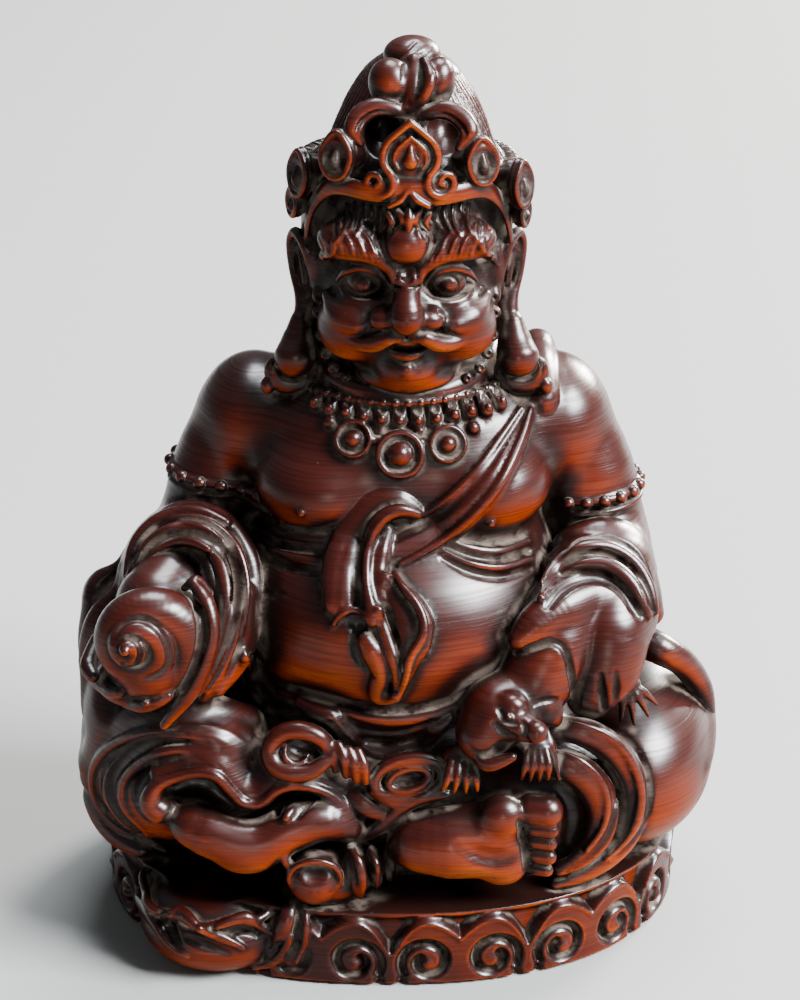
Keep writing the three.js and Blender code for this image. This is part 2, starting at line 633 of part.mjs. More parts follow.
// The back, plainer than the front: hair, the sash, the robe's waist and a few folds on the seat.
function back() {
  for (let k = -2; k <= 2; k++) {
    const x = k * 2.9;
    limb(
      [
        [0.4 + 0.8 * x, 10.6, 82], [0.4 + x, 11.4, 73], [0.4 + 1.2 * x, 11.4, 65],
        [0.4 + 1.5 * x, 15, 57 - 0.3 * k * k],
      ],
      [1.3, 2, 2.2, 1],
      { core: [0, 4, 66] },
    );
  }
  limb(
    [[15, 1, 62], [12.6, 10.8, 57.4], [4, 16.2, 50], [-6, 15.8, 42], [-14.6, 11.6, 34]],
    [2.4, 2.6],
    { sides: 4, steps: 5, flat: 0.6, core: [0, 4, 46] },
  );
  limb(
    [[-17, 5, 31], [-11.6, 12.4, 29.6], [0, 16.8, 28.8], [11.6, 12.4, 29.6], [17, 5, 31]],
    [1.6, 2, 1.6],
    { steps: 6, core: [0, 4, 28] },
  );
  for (const [drop, spread] of [[22, 24], [16, 27]]) {
    limb(
      [
        [-spread, 7, drop + 1], [-0.55 * spread, 17.6, drop - 1.5], [0, 20.2, drop - 3],
        [0.55 * spread, 17.6, drop - 1.5], [spread, 7, drop + 1],
      ],
      [1.4, 2.2, 1.4],
      { steps: 6, core: [0, 3, drop] },
    );
  }
}

base();
clouds();
lotusLeaf();
legsAndSeat();
restingFoot();
turnedFoot();
torso();
armlets();
conchArm();
mongoose();
necklaceAndSash();
belt();
head();
crown();
back();

// Draws the ends of very short edges together, which rids the joined solid of slivers. An edge stays where
// its ends share other neighbours than its own two triangles' corners, or where a facet would turn over.
function withoutShortEdges(places, corners) {
  const spots = [];
  for (let i = 0; i < places.length; i += 3) spots.push(new THREE.Vector3().fromArray(places, i));
  const facets = [];
  const facetsAt = spots.map(() => new Set());
  for (let i = 0; i < corners.length; i += 3) {
    const facet = [corners[i], corners[i + 1], corners[i + 2]];
    for (const corner of facet) facetsAt[corner].add(facet);
    facets.push(facet);
  }
  const around = (spot) => new Set([...facetsAt[spot]].flat().filter((other) => other !== spot));
  const normal = ([a, b, c], moved, to) => {
    const [p, q, r] = [a, b, c].map((corner) => (moved.includes(corner) ? to : spots[corner]));
    return new THREE.Vector3().subVectors(q, p).cross(new THREE.Vector3().subVectors(r, p));
  };
  const gone = new Set();
  for (let reach = shortestEdge / 3; reach <= shortestEdge; reach += shortestEdge / 3) {
    for (let a = 0; a < spots.length; a++) {
      for (const b of around(a)) {
        if (spots[a].distanceTo(spots[b]) > reach) continue;
        const shared = [...facetsAt[a]].filter((facet) => facetsAt[b].has(facet));
        const mutual = [...around(a)].filter((other) => around(b).has(other));
        if (shared.length !== 2 || mutual.length !== 2) continue;
        const to = spots[a].clone().lerp(spots[b], 0.5);
        const kept = [...facetsAt[a], ...facetsAt[b]].filter((facet) => !shared.includes(facet));
        const turns = kept.some((facet) => {
          const before = normal(facet, [], to);
          const after = normal(facet, [a, b], to);
          return after.dot(before) < 0.5 * after.length() * before.length() || after.length() < 1e-3;
        });
        if (turns) continue;
        for (const facet of shared) {
          gone.add(facet);
          for (const corner of facet) facetsAt[corner].delete(facet);
        }
        for (const facet of facetsAt[b]) {
          facet[facet.indexOf(b)] = a;
          facetsAt[a].add(facet);
        }
        facetsAt[b].clear();
        spots[a] = to;
      }
    }
  }
  return { spots, facets: facets.filter((facet) => !gone.has(facet)) };
}

// Everything is one block of wood, cut flat underneath, its box centred on the origin.
function carving() {
  const whole = wasm.Manifold.union(forms).subtract(wasm.Manifold.union(hollows));
  const ground = solid(new THREE.BoxGeometry(200, 200, 20).translate(0, 0, -10));
  const mesh = whole.subtract(ground).getMesh();
  const places = [];
  for (let i = 0; i < mesh.numVert; i++) {
    for (let k = 0; k < 3; k++) places.push(mesh.vertProperties[i * mesh.numProp + k]);
  }
  const { spots, facets } = withoutShortEdges(places, mesh.triVerts);
  const geometry = new THREE.BufferGeometry().setFromPoints(spots);
  geometry.setIndex(facets.flat());
  const used = facets.flat().map((corner) => spots[corner]);
  const box = new THREE.Box3().setFromPoints(used);
  geometry.computeVertexNormals();
  const wood = new THREE.MeshStandardMaterial({ color: woodColour, roughness: 0.35, metalness: 0 });
  const figure = new THREE.Mesh(geometry, wood);
  figure.name = "jambhala_carving";
  figure.position.set(-(box.min.x + box.max.x) / 2, -(box.min.y + box.max.y) / 2, 0);
  return figure;
}

const part = new THREE.Group();
part.add(carving());

export default part;
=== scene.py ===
# A boxwood carving of Jambhala on an oval base, sculpted as distances on grids and made into meshes.
import math
import bmesh
import bpy
import numpy as np
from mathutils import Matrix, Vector


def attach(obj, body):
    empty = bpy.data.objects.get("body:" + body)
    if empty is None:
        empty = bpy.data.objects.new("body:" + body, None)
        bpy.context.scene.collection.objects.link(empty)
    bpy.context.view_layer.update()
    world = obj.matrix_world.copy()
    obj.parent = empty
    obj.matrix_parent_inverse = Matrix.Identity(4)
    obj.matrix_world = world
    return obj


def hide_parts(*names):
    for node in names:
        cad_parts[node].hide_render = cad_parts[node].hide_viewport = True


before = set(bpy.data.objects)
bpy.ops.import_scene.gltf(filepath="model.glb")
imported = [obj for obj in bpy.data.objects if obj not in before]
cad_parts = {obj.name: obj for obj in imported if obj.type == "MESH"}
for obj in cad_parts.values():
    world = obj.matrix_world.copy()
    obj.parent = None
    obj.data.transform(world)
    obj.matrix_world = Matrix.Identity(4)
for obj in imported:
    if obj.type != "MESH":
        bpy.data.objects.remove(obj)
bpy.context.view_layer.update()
nodeName = "jambhala_carving"

# The carving is worked out as signed distances on grids, less than 0 inside the wood, in the
# millimetres of the part's own source: +X to the viewer's right, -Y towards the viewer, +Z up.

blocks = {
    "base": {"low": (-39.0, -33.0, -2.0), "high": (36.0, 28.5, 12.0), "step": 0.22},
    "body": {"low": (-40.0, -31.0, 5.0), "high": (38.0, 26.0, 68.0), "step": 0.25},
    "conch": {"low": (-38.0, -30.0, 25.0), "high": (-16.0, -6.0, 52.0), "step": 0.2},
    "mongoose": {"low": (1.0, -30.0, 18.0), "high": (38.0, 8.0, 51.0), "step": 0.22},
    "head": {"low": (-19.0, -20.0, 56.0), "high": (20.0, 17.0, 102.5), "step": 0.18},
}
carve = {
    "quickShare": 1.8,
    "reach": 1.7,  # how far round a form its distances are written
    "far": 9.0,  # what the grids hold before anything is carved
    "rayStep": 0.18,
    "lineStep": 4.5,  # pixels between the rays of a drawn line
    "calmings": 6,
    "wide": 60.0,  # past every grid's edge in x and y
}

sight = {
    "target": (-0.3, -2.0, 48.0),
    "elevation": 25.0,
    "distance": 330.0,
    "focal": 2994.0,  # pixels
    "tall": 1000,  # the picture's height in pixels, as long as the sensor's longer side
    "sensor": 36.0,
    "middle": (400.0, 500.0),
}
tilt = math.radians(sight["elevation"])
sightBack = np.array([0.0, -math.cos(tilt), math.sin(tilt)])  # from the carving towards the camera
sightUp = np.array([0.0, math.sin(tilt), math.cos(tilt)])
eye = np.array(sight["target"]) + sightBack * sight["distance"]
cellCorners = [(dx, dy, dz) for dx in (0, 1) for dy in (0, 1) for dz in (0, 1)]


class Block:
    def __init__(self, low, high, step):
        self.step = step
        self.low = np.array(low)
        self.count = np.ceil((np.array(high) - self.low) / step).astype(int) + 1
        self.field = np.full(self.count, carve["far"], np.float32)
        ends = [low + step * np.arange(count) for low, count in zip(self.low, self.count)]
        x, y, z = (end.astype(np.float32) for end in ends)
        self.x, self.y, self.z = x[:, None, None], y[None, :, None], z[None, None, :]

    def window(self, low, high, margin):
        first = np.floor((np.array(low) - margin - self.low) / self.step).astype(int)
        last = np.ceil((np.array(high) + margin - self.low) / self.step).astype(int) + 1
        first, last = np.clip(first, 0, self.count), np.clip(last, 0, self.count)
        part = tuple(slice(a, max(a, b)) for a, b in zip(first, last))
        return part, self.x[part[0]], self.y[:, part[1]], self.z[:, :, part[2]]

    def change(self, part, shape, blend, cut):
        if cut:
            self.field[part] = -softMin(-self.field[part], shape, blend)
        else:
            self.field[part] = softMin(self.field[part], shape, blend)

    def sample(self, places):
        cell = (places - self.low) / self.step
        outside = np.any((cell < 0) | (cell > self.count - 1), axis=1)
        cell = np.clip(cell, 0, self.count - 1.001)
        corner = cell.astype(np.int64)
        f = (cell - corner).astype(np.float32)
        flat = self.field.reshape(-1)
        start = (corner[:, 0] * self.count[1] + corner[:, 1]) * self.count[2] + corner[:, 2]
        value = np.zeros(len(places), np.float32)
        for dx, dy, dz in cellCorners:
            share = (f[:, 0] if dx else 1 - f[:, 0]) * (f[:, 1] if dy else 1 - f[:, 1])
            share = share * (f[:, 2] if dz else 1 - f[:, 2])
            value += share * flat[start + (dx * self.count[1] + dy) * self.count[2] + dz]
        value[outside] = carve["far"]
        return value

    def slope(self, places, gap):
        out = np.zeros((len(places), 3), np.float32)
        for k in range(3):
            aside = np.zeros(3)
            aside[k] = gap
            out[:, k] = self.sample(places + aside) - self.sample(places - aside)
        return out / np.maximum(np.linalg.norm(out, axis=1, keepdims=True), 1e-9)


def softMin(a, b, blend):
    if blend <= 0:
        return np.minimum(a, b)
    near = np.maximum(blend - np.abs(a - b), 0) / blend
    return np.minimum(a, b) - near * near * (blend / 4)


def turnMatrix(turn):
    a, b, c = (math.radians(t) for t in turn)
    rx = np.array([[1, 0, 0], [0, math.cos(a), -math.sin(a)], [0, math.sin(a), math.cos(a)]])
    ry = np.array([[math.cos(b), 0, math.sin(b)], [0, 1, 0], [-math.sin(b), 0, math.cos(b)]])
    rz = np.array([[math.cos(c), -math.sin(c), 0], [math.sin(c), math.cos(c), 0], [0, 0, 1]])
    return rz @ ry @ rx


# the forms: eggs, limbs along a path, and their cuts

def egg(centre, radii, blend=0.5, turn=(0, 0, 0), point=0.0, cut=False):
    m = turnMatrix(turn)
    r = np.array(radii, float)
    half = np.sqrt(((m * r) ** 2).sum(1))
    c = np.array(centre, float)
    part, x, y, z = wood.window(c - half, c + half, carve["reach"] + blend)
    x, y, z = x - c[0], y - c[1], z - c[2]
    p = [m[0, k] * x + m[1, k] * y + m[2, k] * z for k in range(3)]
    if point:
        rise = np.clip(p[2] / r[2], 0, 1.4)
        narrow = 1 / np.maximum(1 - point * rise * rise, 0.25)
        p = [p[0] * narrow, p[1] * narrow, p[2]]
    size = np.sqrt((p[0] / r[0]) ** 2 + (p[1] / r[1]) ** 2 + (p[2] / r[2]) ** 2)
    steep = np.sqrt((p[0] / r[0] ** 2) ** 2 + (p[1] / r[1] ** 2) ** 2 + (p[2] / r[2] ** 2) ** 2)
    shape = (size * (size - 1) / np.maximum(steep, 1e-6)).astype(np.float32)
    wood.change(part, shape, blend, cut)


def dent(centre, radii, blend=0.5, turn=(0, 0, 0), point=0.0):
    egg(centre, radii, blend, turn, point, cut=True)


def smoothPath(points, spacing):
    p = np.array(points, float)
    if len(p) == 2:
        share = np.linspace(0, 1, max(2, int(np.linalg.norm(p[1] - p[0]) / spacing) + 1))
        return p[0] + (p[1] - p[0]) * share[:, None], share
    ends = np.vstack([2 * p[0] - p[1], p, 2 * p[-1] - p[-2]])
    path, shares = [], []
    for i in range(len(p) - 1):
        a, b, c, d = ends[i : i + 4]
        count = max(1, int(np.ceil(np.linalg.norm(c - b) / spacing)))
        t = (np.arange(count) / count)[:, None]
        square = (2 * a - 5 * b + 4 * c - d) * t**2
        path.append(0.5 * (2 * b + (c - a) * t + square + (3 * b - a - 3 * c + d) * t**3))
        shares.append((i + t[:, 0]) / (len(p) - 1))
    path.append(p[-1:])
    shares.append(np.array([1.0]))
    return np.vstack(path), np.concatenate(shares)


def along(values, share):
    v = np.atleast_1d(np.array(values, float))
    return np.interp(share, np.linspace(0, 1, len(v)), v)


def tube(path, r, blend=0.4, cut=False, flat=1.0, facing=None):
    d = np.array(sightBack if facing is None else facing, float)
    d = d / np.linalg.norm(d, axis=-1, keepdims=True)
    reach = carve["reach"] if blend < 1 else carve["reach"] + 0.5 * blend
    part, *_ = wood.window(path.min(0) - r.max(), path.max(0) + r.max(), reach)
    shape = np.full([s.stop - s.start for s in part], carve["far"], np.float32)
    for i in range(len(path) - 1):
        a, b = path[i], path[i + 1]
        pad = max(r[i], r[i + 1])
        local, lx, ly, lz = wood.window(np.minimum(a, b) - pad, np.maximum(a, b) + pad, reach)
        inner = tuple(slice(l.start - s.start, l.stop - s.start) for l, s in zip(local, part))
        if min(s.stop - s.start for s in inner) <= 0:
            continue
        ab = b - a
        qx, qy, qz = lx - a[0], ly - a[1], lz - a[2]
        t = np.clip((qx * ab[0] + qy * ab[1] + qz * ab[2]) / max(ab @ ab, 1e-9), 0, 1)
        qx, qy, qz = qx - t * ab[0], qy - t * ab[1], qz - t * ab[2]
        if flat != 1:
            n = d if d.ndim == 1 else d[i]
            w = (qx * n[0] + qy * n[1] + qz * n[2]) * (1 / flat - 1)
            qx, qy, qz = qx + w * n[0], qy + w * n[1], qz + w * n[2]
        gap = np.sqrt(qx * qx + qy * qy + qz * qz) - (r[i] + (r[i + 1] - r[i]) * t)
        np.minimum(shape[inner], gap, out=shape[inner])
    if flat != 1:
        shape = shape * (0.5 + 0.5 * flat)
    wood.change(part, shape, blend, cut)


def limb(points, radii, blend=0.5, flat=1.0, cut=False):
    path, share = smoothPath(points, max(0.5, 0.45 * float(np.min(radii))))
    tube(path, along(radii, share), blend, cut, flat)


def slit(points, radii, blend=0.5):
    limb(points, radii, blend, cut=True)


# where rays first meet the wood


def meet(starts, directions, first, last):
    steps = np.arange(first, last, carve["rayStep"])
    places = starts[:, None, :] + directions[:, None, :] * steps[None, :, None]
    value = wood.sample(places.reshape(-1, 3)).reshape(len(starts), len(steps))
    inside = value < 0
    hit = np.argmax(inside, axis=1)
    missed = ~inside.any(1)
    hit[missed] = np.argmin(value, axis=1)[missed]
    before = np.maximum(hit - 1, 0)
    row = np.arange(len(starts))
    va, vb = value[row, before], value[row, hit]
    share = np.where(missed | (va <= 0) | (va > 5), 1.0, va / np.maximum(va - vb, 1e-6))
    return starts + directions * (steps[before] + share * (steps[hit] - steps[before]))[:, None]


def onto(pixels, lift=0.0):
    p = np.array(pixels, float)
    rays = np.stack([p[:, 0] - sight["middle"][0]] + [np.zeros(len(p))] * 2, 1)
    rays = rays - sightUp * (p[:, 1:2] - sight["middle"][1]) - sightBack * sight["focal"]
    rays = rays / np.linalg.norm(rays, axis=1, keepdims=True)
    starts = np.broadcast_to(eye, rays.shape)
    return meet(starts, rays, sight["distance"] - 52, sight["distance"] + 40) - rays * lift


def calm(path, times):
    for _ in range(times):
        path[1:-1] = 0.25 * path[:-2] + 0.5 * path[1:-1] + 0.25 * path[2:]
    return path


# lines drawn in pixels of the camera's 800 by 1000 picture and laid on the wood along its rays

def drawn(pixels, lift=0.0):
    line, share = smoothPath(pixels, carve["lineStep"])
    path = calm(onto(line), carve["calmings"])
    toEye = eye - path
    toEye = toEye / np.linalg.norm(toEye, axis=1, keepdims=True)
    return path + toEye * along(lift, share)[:, None], share


def ridge(pixels, radii, lift=0.0, blend=0.35, flat=1.0):
    path, share = drawn(pixels, lift)
    tube(path, along(radii, share), blend, False, flat)


def groove(pixels, radii, lift=0.0, blend=0.3, flat=1.0):
    path, share = drawn(pixels, lift)
    tube(path, along(radii, share), blend, True, flat)


def bead(px, py, r, lift=0.2, blend=0.15):
    egg(onto([(px, py)], lift)[0], np.broadcast_to(r, 3), blend)


# a closed ring across the view; lean is how far its upper side stands back
def ellipse(centre, reachX, reachZ, lean, skewX=0.0, skewZ=0.0):
    x, y, z = centre
    ring = []
    for a in np.linspace(0, 2 * math.pi, 25):
        c, s = math.cos(a), math.sin(a)
        ring.append((x + reachX * c + skewX * s, y + lean * s, z + reachZ * s + skewZ * c))
    return ring


def mirrored(at, side, middle):
    if isinstance(at, tuple):
        return (middle + side * at[0], *at[1:])
    return [mirrored(place, side, middle) for place in at]


# A table's row holds what makes the form, its points or centre, its radii, for a drawn line and a
# bead its lift off the wood, then the blend with what it joins, and last a flatness or a turn.
# With a side, x is counted from the middle, to the viewer's right (1) or left (-1).

def build(table, side=0, middle=0.0):
    for make, at, *rest in table.values():
        if side:
            at = mirrored(at, side, middle)
        if side and make in (egg, dent) and len(rest) > 2:
            x, y, z = rest[2]
            rest[2] = (x, side * y, side * z)
        make(at, *rest)


# a solid from rows of height, middle, half width, front and back
def levels(table, square=2.0):
    t = np.array(table, float)
    wide = carve["wide"]
    part, x, y, z = wood.window((-wide, -wide, t[0, 0]), (wide, wide, t[-1, 0]), 0.01)
    heights = z.reshape(-1)
    fine = np.linspace(t[0, 0], t[-1, 0], 400)
    rows = []
    for k in range(1, t.shape[1]):
        line = np.interp(fine, t[:, 0], t[:, k])
        kernel = np.hanning(31) / np.hanning(31).sum()
        line = np.convolve(np.pad(line, 15, mode="edge"), kernel, mode="valid")
        rows.append(np.interp(heights, fine, line))
    middle, halfWidth, front, back = (r[None, None, :] for r in rows)
    depth = (back - front) / 2
    px, py = (x - middle) / halfWidth, (y - (front + back) / 2) / depth
    size = (np.abs(px) ** square + np.abs(py) ** square) ** (1 / square)
    steep = np.sqrt((px / halfWidth) ** 2 + (py / depth) ** 2)
    shape = (size * (size - 1) / np.maximum(steep, 1e-6)).astype(np.float32)
    ends = np.maximum(t[0, 0] - z, z - t[-1, 0])
    wood.change(part, np.maximum(shape, ends), 0, False)


grids = {}


def newBlock(name):
    size = blocks[name]
    step = size["step"] * 1
    grids[name] = Block(size["low"], size["high"], step)
    print("carving", name)
    return grids[name]


# the surface as quads, one point in each cell that it crosses
def skin(block):
    field = block.field
    for side in (0, -1):
        # nothing stays open at the grid's ends
        field[side], field[:, side], field[:, :, side] = 1.0, 1.0, 1.0
    inside = field < 0
    nx, ny, nz = field.shape
    total = np.zeros((nx - 1, ny - 1, nz - 1), np.uint8)
    for dx, dy, dz in cellCorners:
        total += inside[dx : nx - 1 + dx, dy : ny - 1 + dy, dz : nz - 1 + dz]
    active = np.flatnonzero((total > 0) & (total < 8))
    cy, cz = ny - 1, nz - 1
    ix, iy, iz = active // (cy * cz), (active // cz) % cy, active % cz
    flat = field.reshape(-1)
    corner = {}
    for dx, dy, dz in cellCorners:
        corner[dx, dy, dz] = flat[((ix + dx) * ny + iy + dy) * nz + iz + dz]
    place = np.zeros((len(active), 3), np.float32)
    hits = np.zeros(len(active), np.float32)
    for axis in range(3):
        for u in (0, 1):
            for v in (0, 1):
                a, b = [u, v], [u, v]
                a.insert(axis, 0)
                b.insert(axis, 1)
                fa, fb = corner[tuple(a)], corner[tuple(b)]
                crossed = (fa < 0) != (fb < 0)
                t = np.where(crossed, fa / np.where(crossed, fa - fb, 1), 0)
                for k in range(3):
                    place[:, k] += np.where(crossed, a[k] + (t if k == axis else 0), 0)
                hits += crossed
    place = place / hits[:, None] + np.stack([ix, iy, iz], 1)
    quads = []
    unit = np.eye(3, dtype=int)
    for axis in range(3):
        b, c = (axis + 1) % 3, (axis + 2) % 3
        first = [slice(1, n - 1) for n in field.shape]
        first[axis] = slice(0, field.shape[axis] - 1)
        second = list(first)
        second[axis] = slice(1, field.shape[axis])
        one, two = inside[tuple(first)], inside[tuple(second)]
        for leaving in (True, False):
            edge = np.argwhere((one & ~two) if leaving else (~one & two)) + 1 - unit[axis]
            ring = [edge - unit[b] - unit[c], edge - unit[c], edge, edge - unit[b]]
            cells = [(q[:, 0] * cy + q[:, 1]) * cz + q[:, 2] for q in ring]
            quad = np.stack([np.searchsorted(active, cell) for cell in cells], 1)
            quads.append(quad if leaving else quad[:, ::-1])
    return block.low + place * block.step, np.vstack(quads)


# The base: an oval block with cloud scrolls round its wall, and a lotus leaf at the front left.

base = {
    "middle": -1.3,
    "halfWidth": 33.0,
    "halfDepth": 25.6,
    "square": 2.25,
    "height": 9.2,
    "pitch": 15.2,
    "cloudFoot": 0.4,
    "cloudGap": 0.3,  # between the clouds and the top
    "cloudWall": 0.955,  # the wall that the clouds stand on, as a share of the oval
    "leafFrom": 3.62,  # round the oval, in radians: no clouds behind the leaf
    "leafTo": 4.38,
    "leafMiddle": (-20.4, -17.2),
    "leafReach": 8.5,
    "rows": [
        (-0.2, 0.955), (1.0, 0.962), (1.35, 0.937), (7.9, 0.945), (8.3, 0.965), (8.8, 0.982),
        (9.2, 0.975),
    ],
}
cloud = {
    "rise": 1.5,
    "humpMiddle": 3.7,
    "humpTop": 4.2,
    "humpFall": (0.16, 0.30),  # towards the notch, and outwards
    "scrollMiddle": (3.6, -1.6),
    "scrollReach": 2.95,
    "scrollWind": 2.0,
    "scrollTurns": (-30, 430),
    "scrollTail": [(6.4, -4.8), (6.3, -3.9)],
    "grooveDepth": 1.2,
    "grooveWidth": 0.42,
}


def ovalRow(height, scale):
    depth = scale * base["halfDepth"]
    return [height, base["middle"], scale * base["halfWidth"], -depth, depth]


def cloudRelief(across, up):
    # two humps with a notch between them, and a scroll curled in under each hump
    a = np.abs(across)
    fall = np.where(a < cloud["humpMiddle"], *cloud["humpFall"])
    under = cloud["humpTop"] - fall * (a - cloud["humpMiddle"]) ** 2 - up
    rise = np.clip(under / 0.8 + 0.3, 0, 1)
    relief = cloud["rise"] * (rise * rise * (3 - 2 * rise))
    turn = np.linspace(0, 1, 90)
    radius = cloud["scrollReach"] - cloud["scrollWind"] * turn
    angle = np.radians(cloud["scrollTurns"][0] + cloud["scrollTurns"][1] * turn)
    x, y = cloud["scrollMiddle"]
    scroll = np.stack([x + radius * np.cos(angle), y + 1.02 * radius * np.sin(angle)], 1)
    gap = np.full(a.shape, carve["far"])
    for p in np.vstack([cloud["scrollTail"], scroll]):
        gap = np.minimum(gap, np.hypot(a - p[0], up - p[1]))
    dip = np.exp(-((gap / cloud["grooveWidth"]) ** 2)) * (under > 0.7)
    bulge = np.clip(1 - np.hypot(a - x, up - y) / 0.8, 0, 1)
    rim = np.exp(-(((under - 0.75) / 0.35) ** 2)) * (a < 6.6)
    return relief - cloud["grooveDepth"] * dip + 0.35 * bulge + 0.25 * rim


def carveClouds():
    angle = np.linspace(0, 2 * np.pi, 1081)
    c, s = np.cos(angle), np.sin(angle)
    power = 2 / base["square"]
    wall = base["cloudWall"]
    ox = base["middle"] + wall * base["halfWidth"] * np.sign(c) * np.abs(c) ** power
    oy = wall * base["halfDepth"] * np.sign(s) * np.abs(s) ** power
    run = np.concatenate([[0], np.cumsum(np.hypot(np.diff(ox), np.diff(oy)))])
    pitch = run[-1] / round(run[-1] / base["pitch"])
    foot, gap, wide = base["cloudFoot"], base["cloudGap"], carve["wide"]
    part, x, y, z = wood.window((-wide, -wide, foot), (wide, wide, base["height"] - gap), 0)
    gx, gy = np.broadcast_arrays(x[:, :, 0], y[:, :, 0])
    rough = np.hypot((gx - base["middle"]) / base["halfWidth"], gy / base["halfDepth"])
    columns = np.argwhere((rough > 0.8) & (rough < 1.25))
    cx, cy = gx[columns[:, 0], columns[:, 1]], gy[columns[:, 0], columns[:, 1]]
    nearest = np.empty(len(columns), int)
    for i in range(0, len(columns), 4000):
        some = slice(i, i + 4000)
        distance = (cx[some, None] - ox) ** 2 + (cy[some, None] - oy) ** 2
        nearest[some] = distance.argmin(1)
    tx, ty = np.gradient(ox)[nearest], np.gradient(oy)[nearest]
    size = np.hypot(tx, ty)
    offset = ((cx - ox[nearest]) * ty - (cy - oy[nearest]) * tx) / size
    shift = ((cx - ox[nearest]) * tx + (cy - oy[nearest]) * ty) / size
    where = run[nearest] + shift
    across = (where % pitch) - pitch / 2
    upwards = z.reshape(-1) - 0.5 * base["height"]
    relief = cloudRelief(across[:, None], upwards[None, :])
    centre = np.interp(where - across, run, angle)
    relief[(centre > base["leafFrom"]) & (centre < base["leafTo"])] = 0
    shape = (offset[:, None] - relief + 0.35) * 0.85
    ends = np.maximum(foot - z.reshape(-1), z.reshape(-1) - base["height"] + gap)[None, :]
    shape = np.maximum(shape, ends).astype(np.float32)
    held = wood.field[part]
    spots = (columns[:, 0], columns[:, 1])
    held[spots] = softMin(held[spots], shape, 0.3)


def carveLeaf():
    mx, my = base["leafMiddle"]
    egg((mx, my, 4.2), (8.9, 8.4, 5.4), blend=0.8)
    dent((mx + 0.3, my + 0.8, 12.2), (8.0, 7.4, 5.2), blend=0.4)
    rim = []
    for k in range(34):
        turn = math.radians(160 + 215 * k / 33)
        wave = 0.22 * math.sin(1.1 * k) + 0.18 * math.sin(0.6 * k + 1)
        reach = base["leafReach"] + 0.3 * math.sin(0.9 * k + 0.6)
        rim.append((mx + reach * math.cos(turn), my + 0.94 * reach * math.sin(turn), 7.9 + wave))
    limb(rim, (0.4, 0.55, 0.45, 0.55, 0.5, 0.6, 0.45), blend=0.5)


wood = newBlock("base")
levels([ovalRow(height, scale) for height, scale in base["rows"]], base["square"])
carveClouds()
carveLeaf()

# folds and pointed lobes on the leaf's wall, and its curled tip at the right
leafMarks = {
    "leftCurl": (ridge, [(138, 886), (140, 901), (152, 917), (168, 942), (186, 956)],
        (0.35, 0.7, 0.65, 0.55, 0.3), 0.2, 0.35),
    "leftCurlGroove": (groove, [(160, 912), (168, 928), (178, 946)], (0.4, 0.9, 0.5), 0.3, 0.4),
    "leftLobe": (ridge, [(170, 915), (179, 910), (188, 918), (200, 929)], (0.4, 0.8, 0.75, 0.4),
        0.25, 0.3),
    "lobeVein": (ridge, [(200, 929), (222, 937), (244, 948)], (0.45, 0.65, 0.3), 0.25, 0.25),
    "lobeGroove": (groove, [(186, 938), (206, 946), (228, 954)], (0.3, 0.55, 0.3), 0.15, 0.4),
    "frontLobe": (ridge, [(217, 927), (231, 921), (246, 916), (258, 924), (270, 932)],
        (0.35, 0.55, 0.75, 0.55, 0.35), 0.25, 0.3),
    "frontLobeGroove": (groove, [(232, 934), (246, 928), (258, 936)], (0.25, 0.45, 0.25), 0.1, 0.3),
    "tipCurl": (ridge, [(291, 897), (290, 912), (284, 928), (275, 938)], (0.5, 1, 1.2, 0.6), 0.2,
        0.3),
    "tipUnder": (ridge, [(290, 936), (286, 950), (272, 962), (254, 967)], (0.45, 0.75, 0.65, 0.35),
        0.25, 0.3),
    "tipEdge": (ridge, [(305, 905), (306, 925), (305, 944), (296, 962)], (0.3, 0.5, 0.55, 0.3),
        0.2, 0.25),
    "tipGroove": (groove, [(298, 902), (298, 926), (296, 944), (286, 960)], (0.3, 0.5, 0.5, 0.3),
        0.2),
}
build(leafMarks)
wood.field = np.maximum(wood.field, -wood.z)  # a flat underside


# long hair down the back, the same locks in the head's grid and the body's
def hairLocks():
    for k in range(-4, 5):
        x, bow = 2.25 * k, k * k
        swing = 0.5 * math.sin(2.1 * k)
        lock = [
            (0.4 + 0.86 * x, 10.6 - 0.13 * bow, 85),
            (0.4 + 0.98 * x + 0.4 * swing, 11.9 - 0.16 * bow, 79),
            (0.4 + x - 0.5 * swing, 11.8 - 0.17 * bow, 72),
            (0.4 + 1.08 * x + swing, 12.4 - 0.14 * bow, 65.5),
            (0.4 + 1.28 * x, 14.6 - 0.12 * bow, 59.5),
            (0.4 + 1.4 * x + swing, 16.3 - 0.17 * bow, 54 + 0.3 * bow + 0.8 * (k % 2)),
        ]
        limb(lock, (1.4, 1.7, 1.75, 1.75, 1.6, 0.4), blend=0.45)
        for shift in (-0.6, 0.0, 0.6):
            out = 1.72 - 0.25 * abs(shift)
            path = [(p[0] + shift, p[1] + out, p[2]) for p in lock[:5]]
            slit(path, (0.12, 0.2, 0.22, 0.2, 0.1), blend=0.15)


# The body: seat, legs in their cloth, belly, breast, arms and the sleeve on the left.

trunk = [
    [6, 0, 23, -17, 20], [16, 0, 25, -18, 21.2], [22, -0.4, 23.4, -18.2, 20.2],
    [26, -0.5, 19.6, -17.2, 17.8],
    [29, -0.5, 17, -17, 16.4], [32, -0.5, 17.2, -18.2, 16.2], [36, -0.5, 17.8, -19.6, 16.4],
    [40, -0.5, 17.8, -19.2, 16.8], [44, -0.4, 17, -17, 17.2], [47, -0.2, 15.8, -13.8, 17.4],
    [50, 0, 15.8, -12.6, 17.4], [55, 0, 16.6, -12.6, 16.6], [59.5, 0, 16.6, -11, 14.6],
    [63, 0, 12.6, -8.4, 12],
    [66, 0, 8, -7, 9], [68, 0.2, 6.6, -7, 8],
]

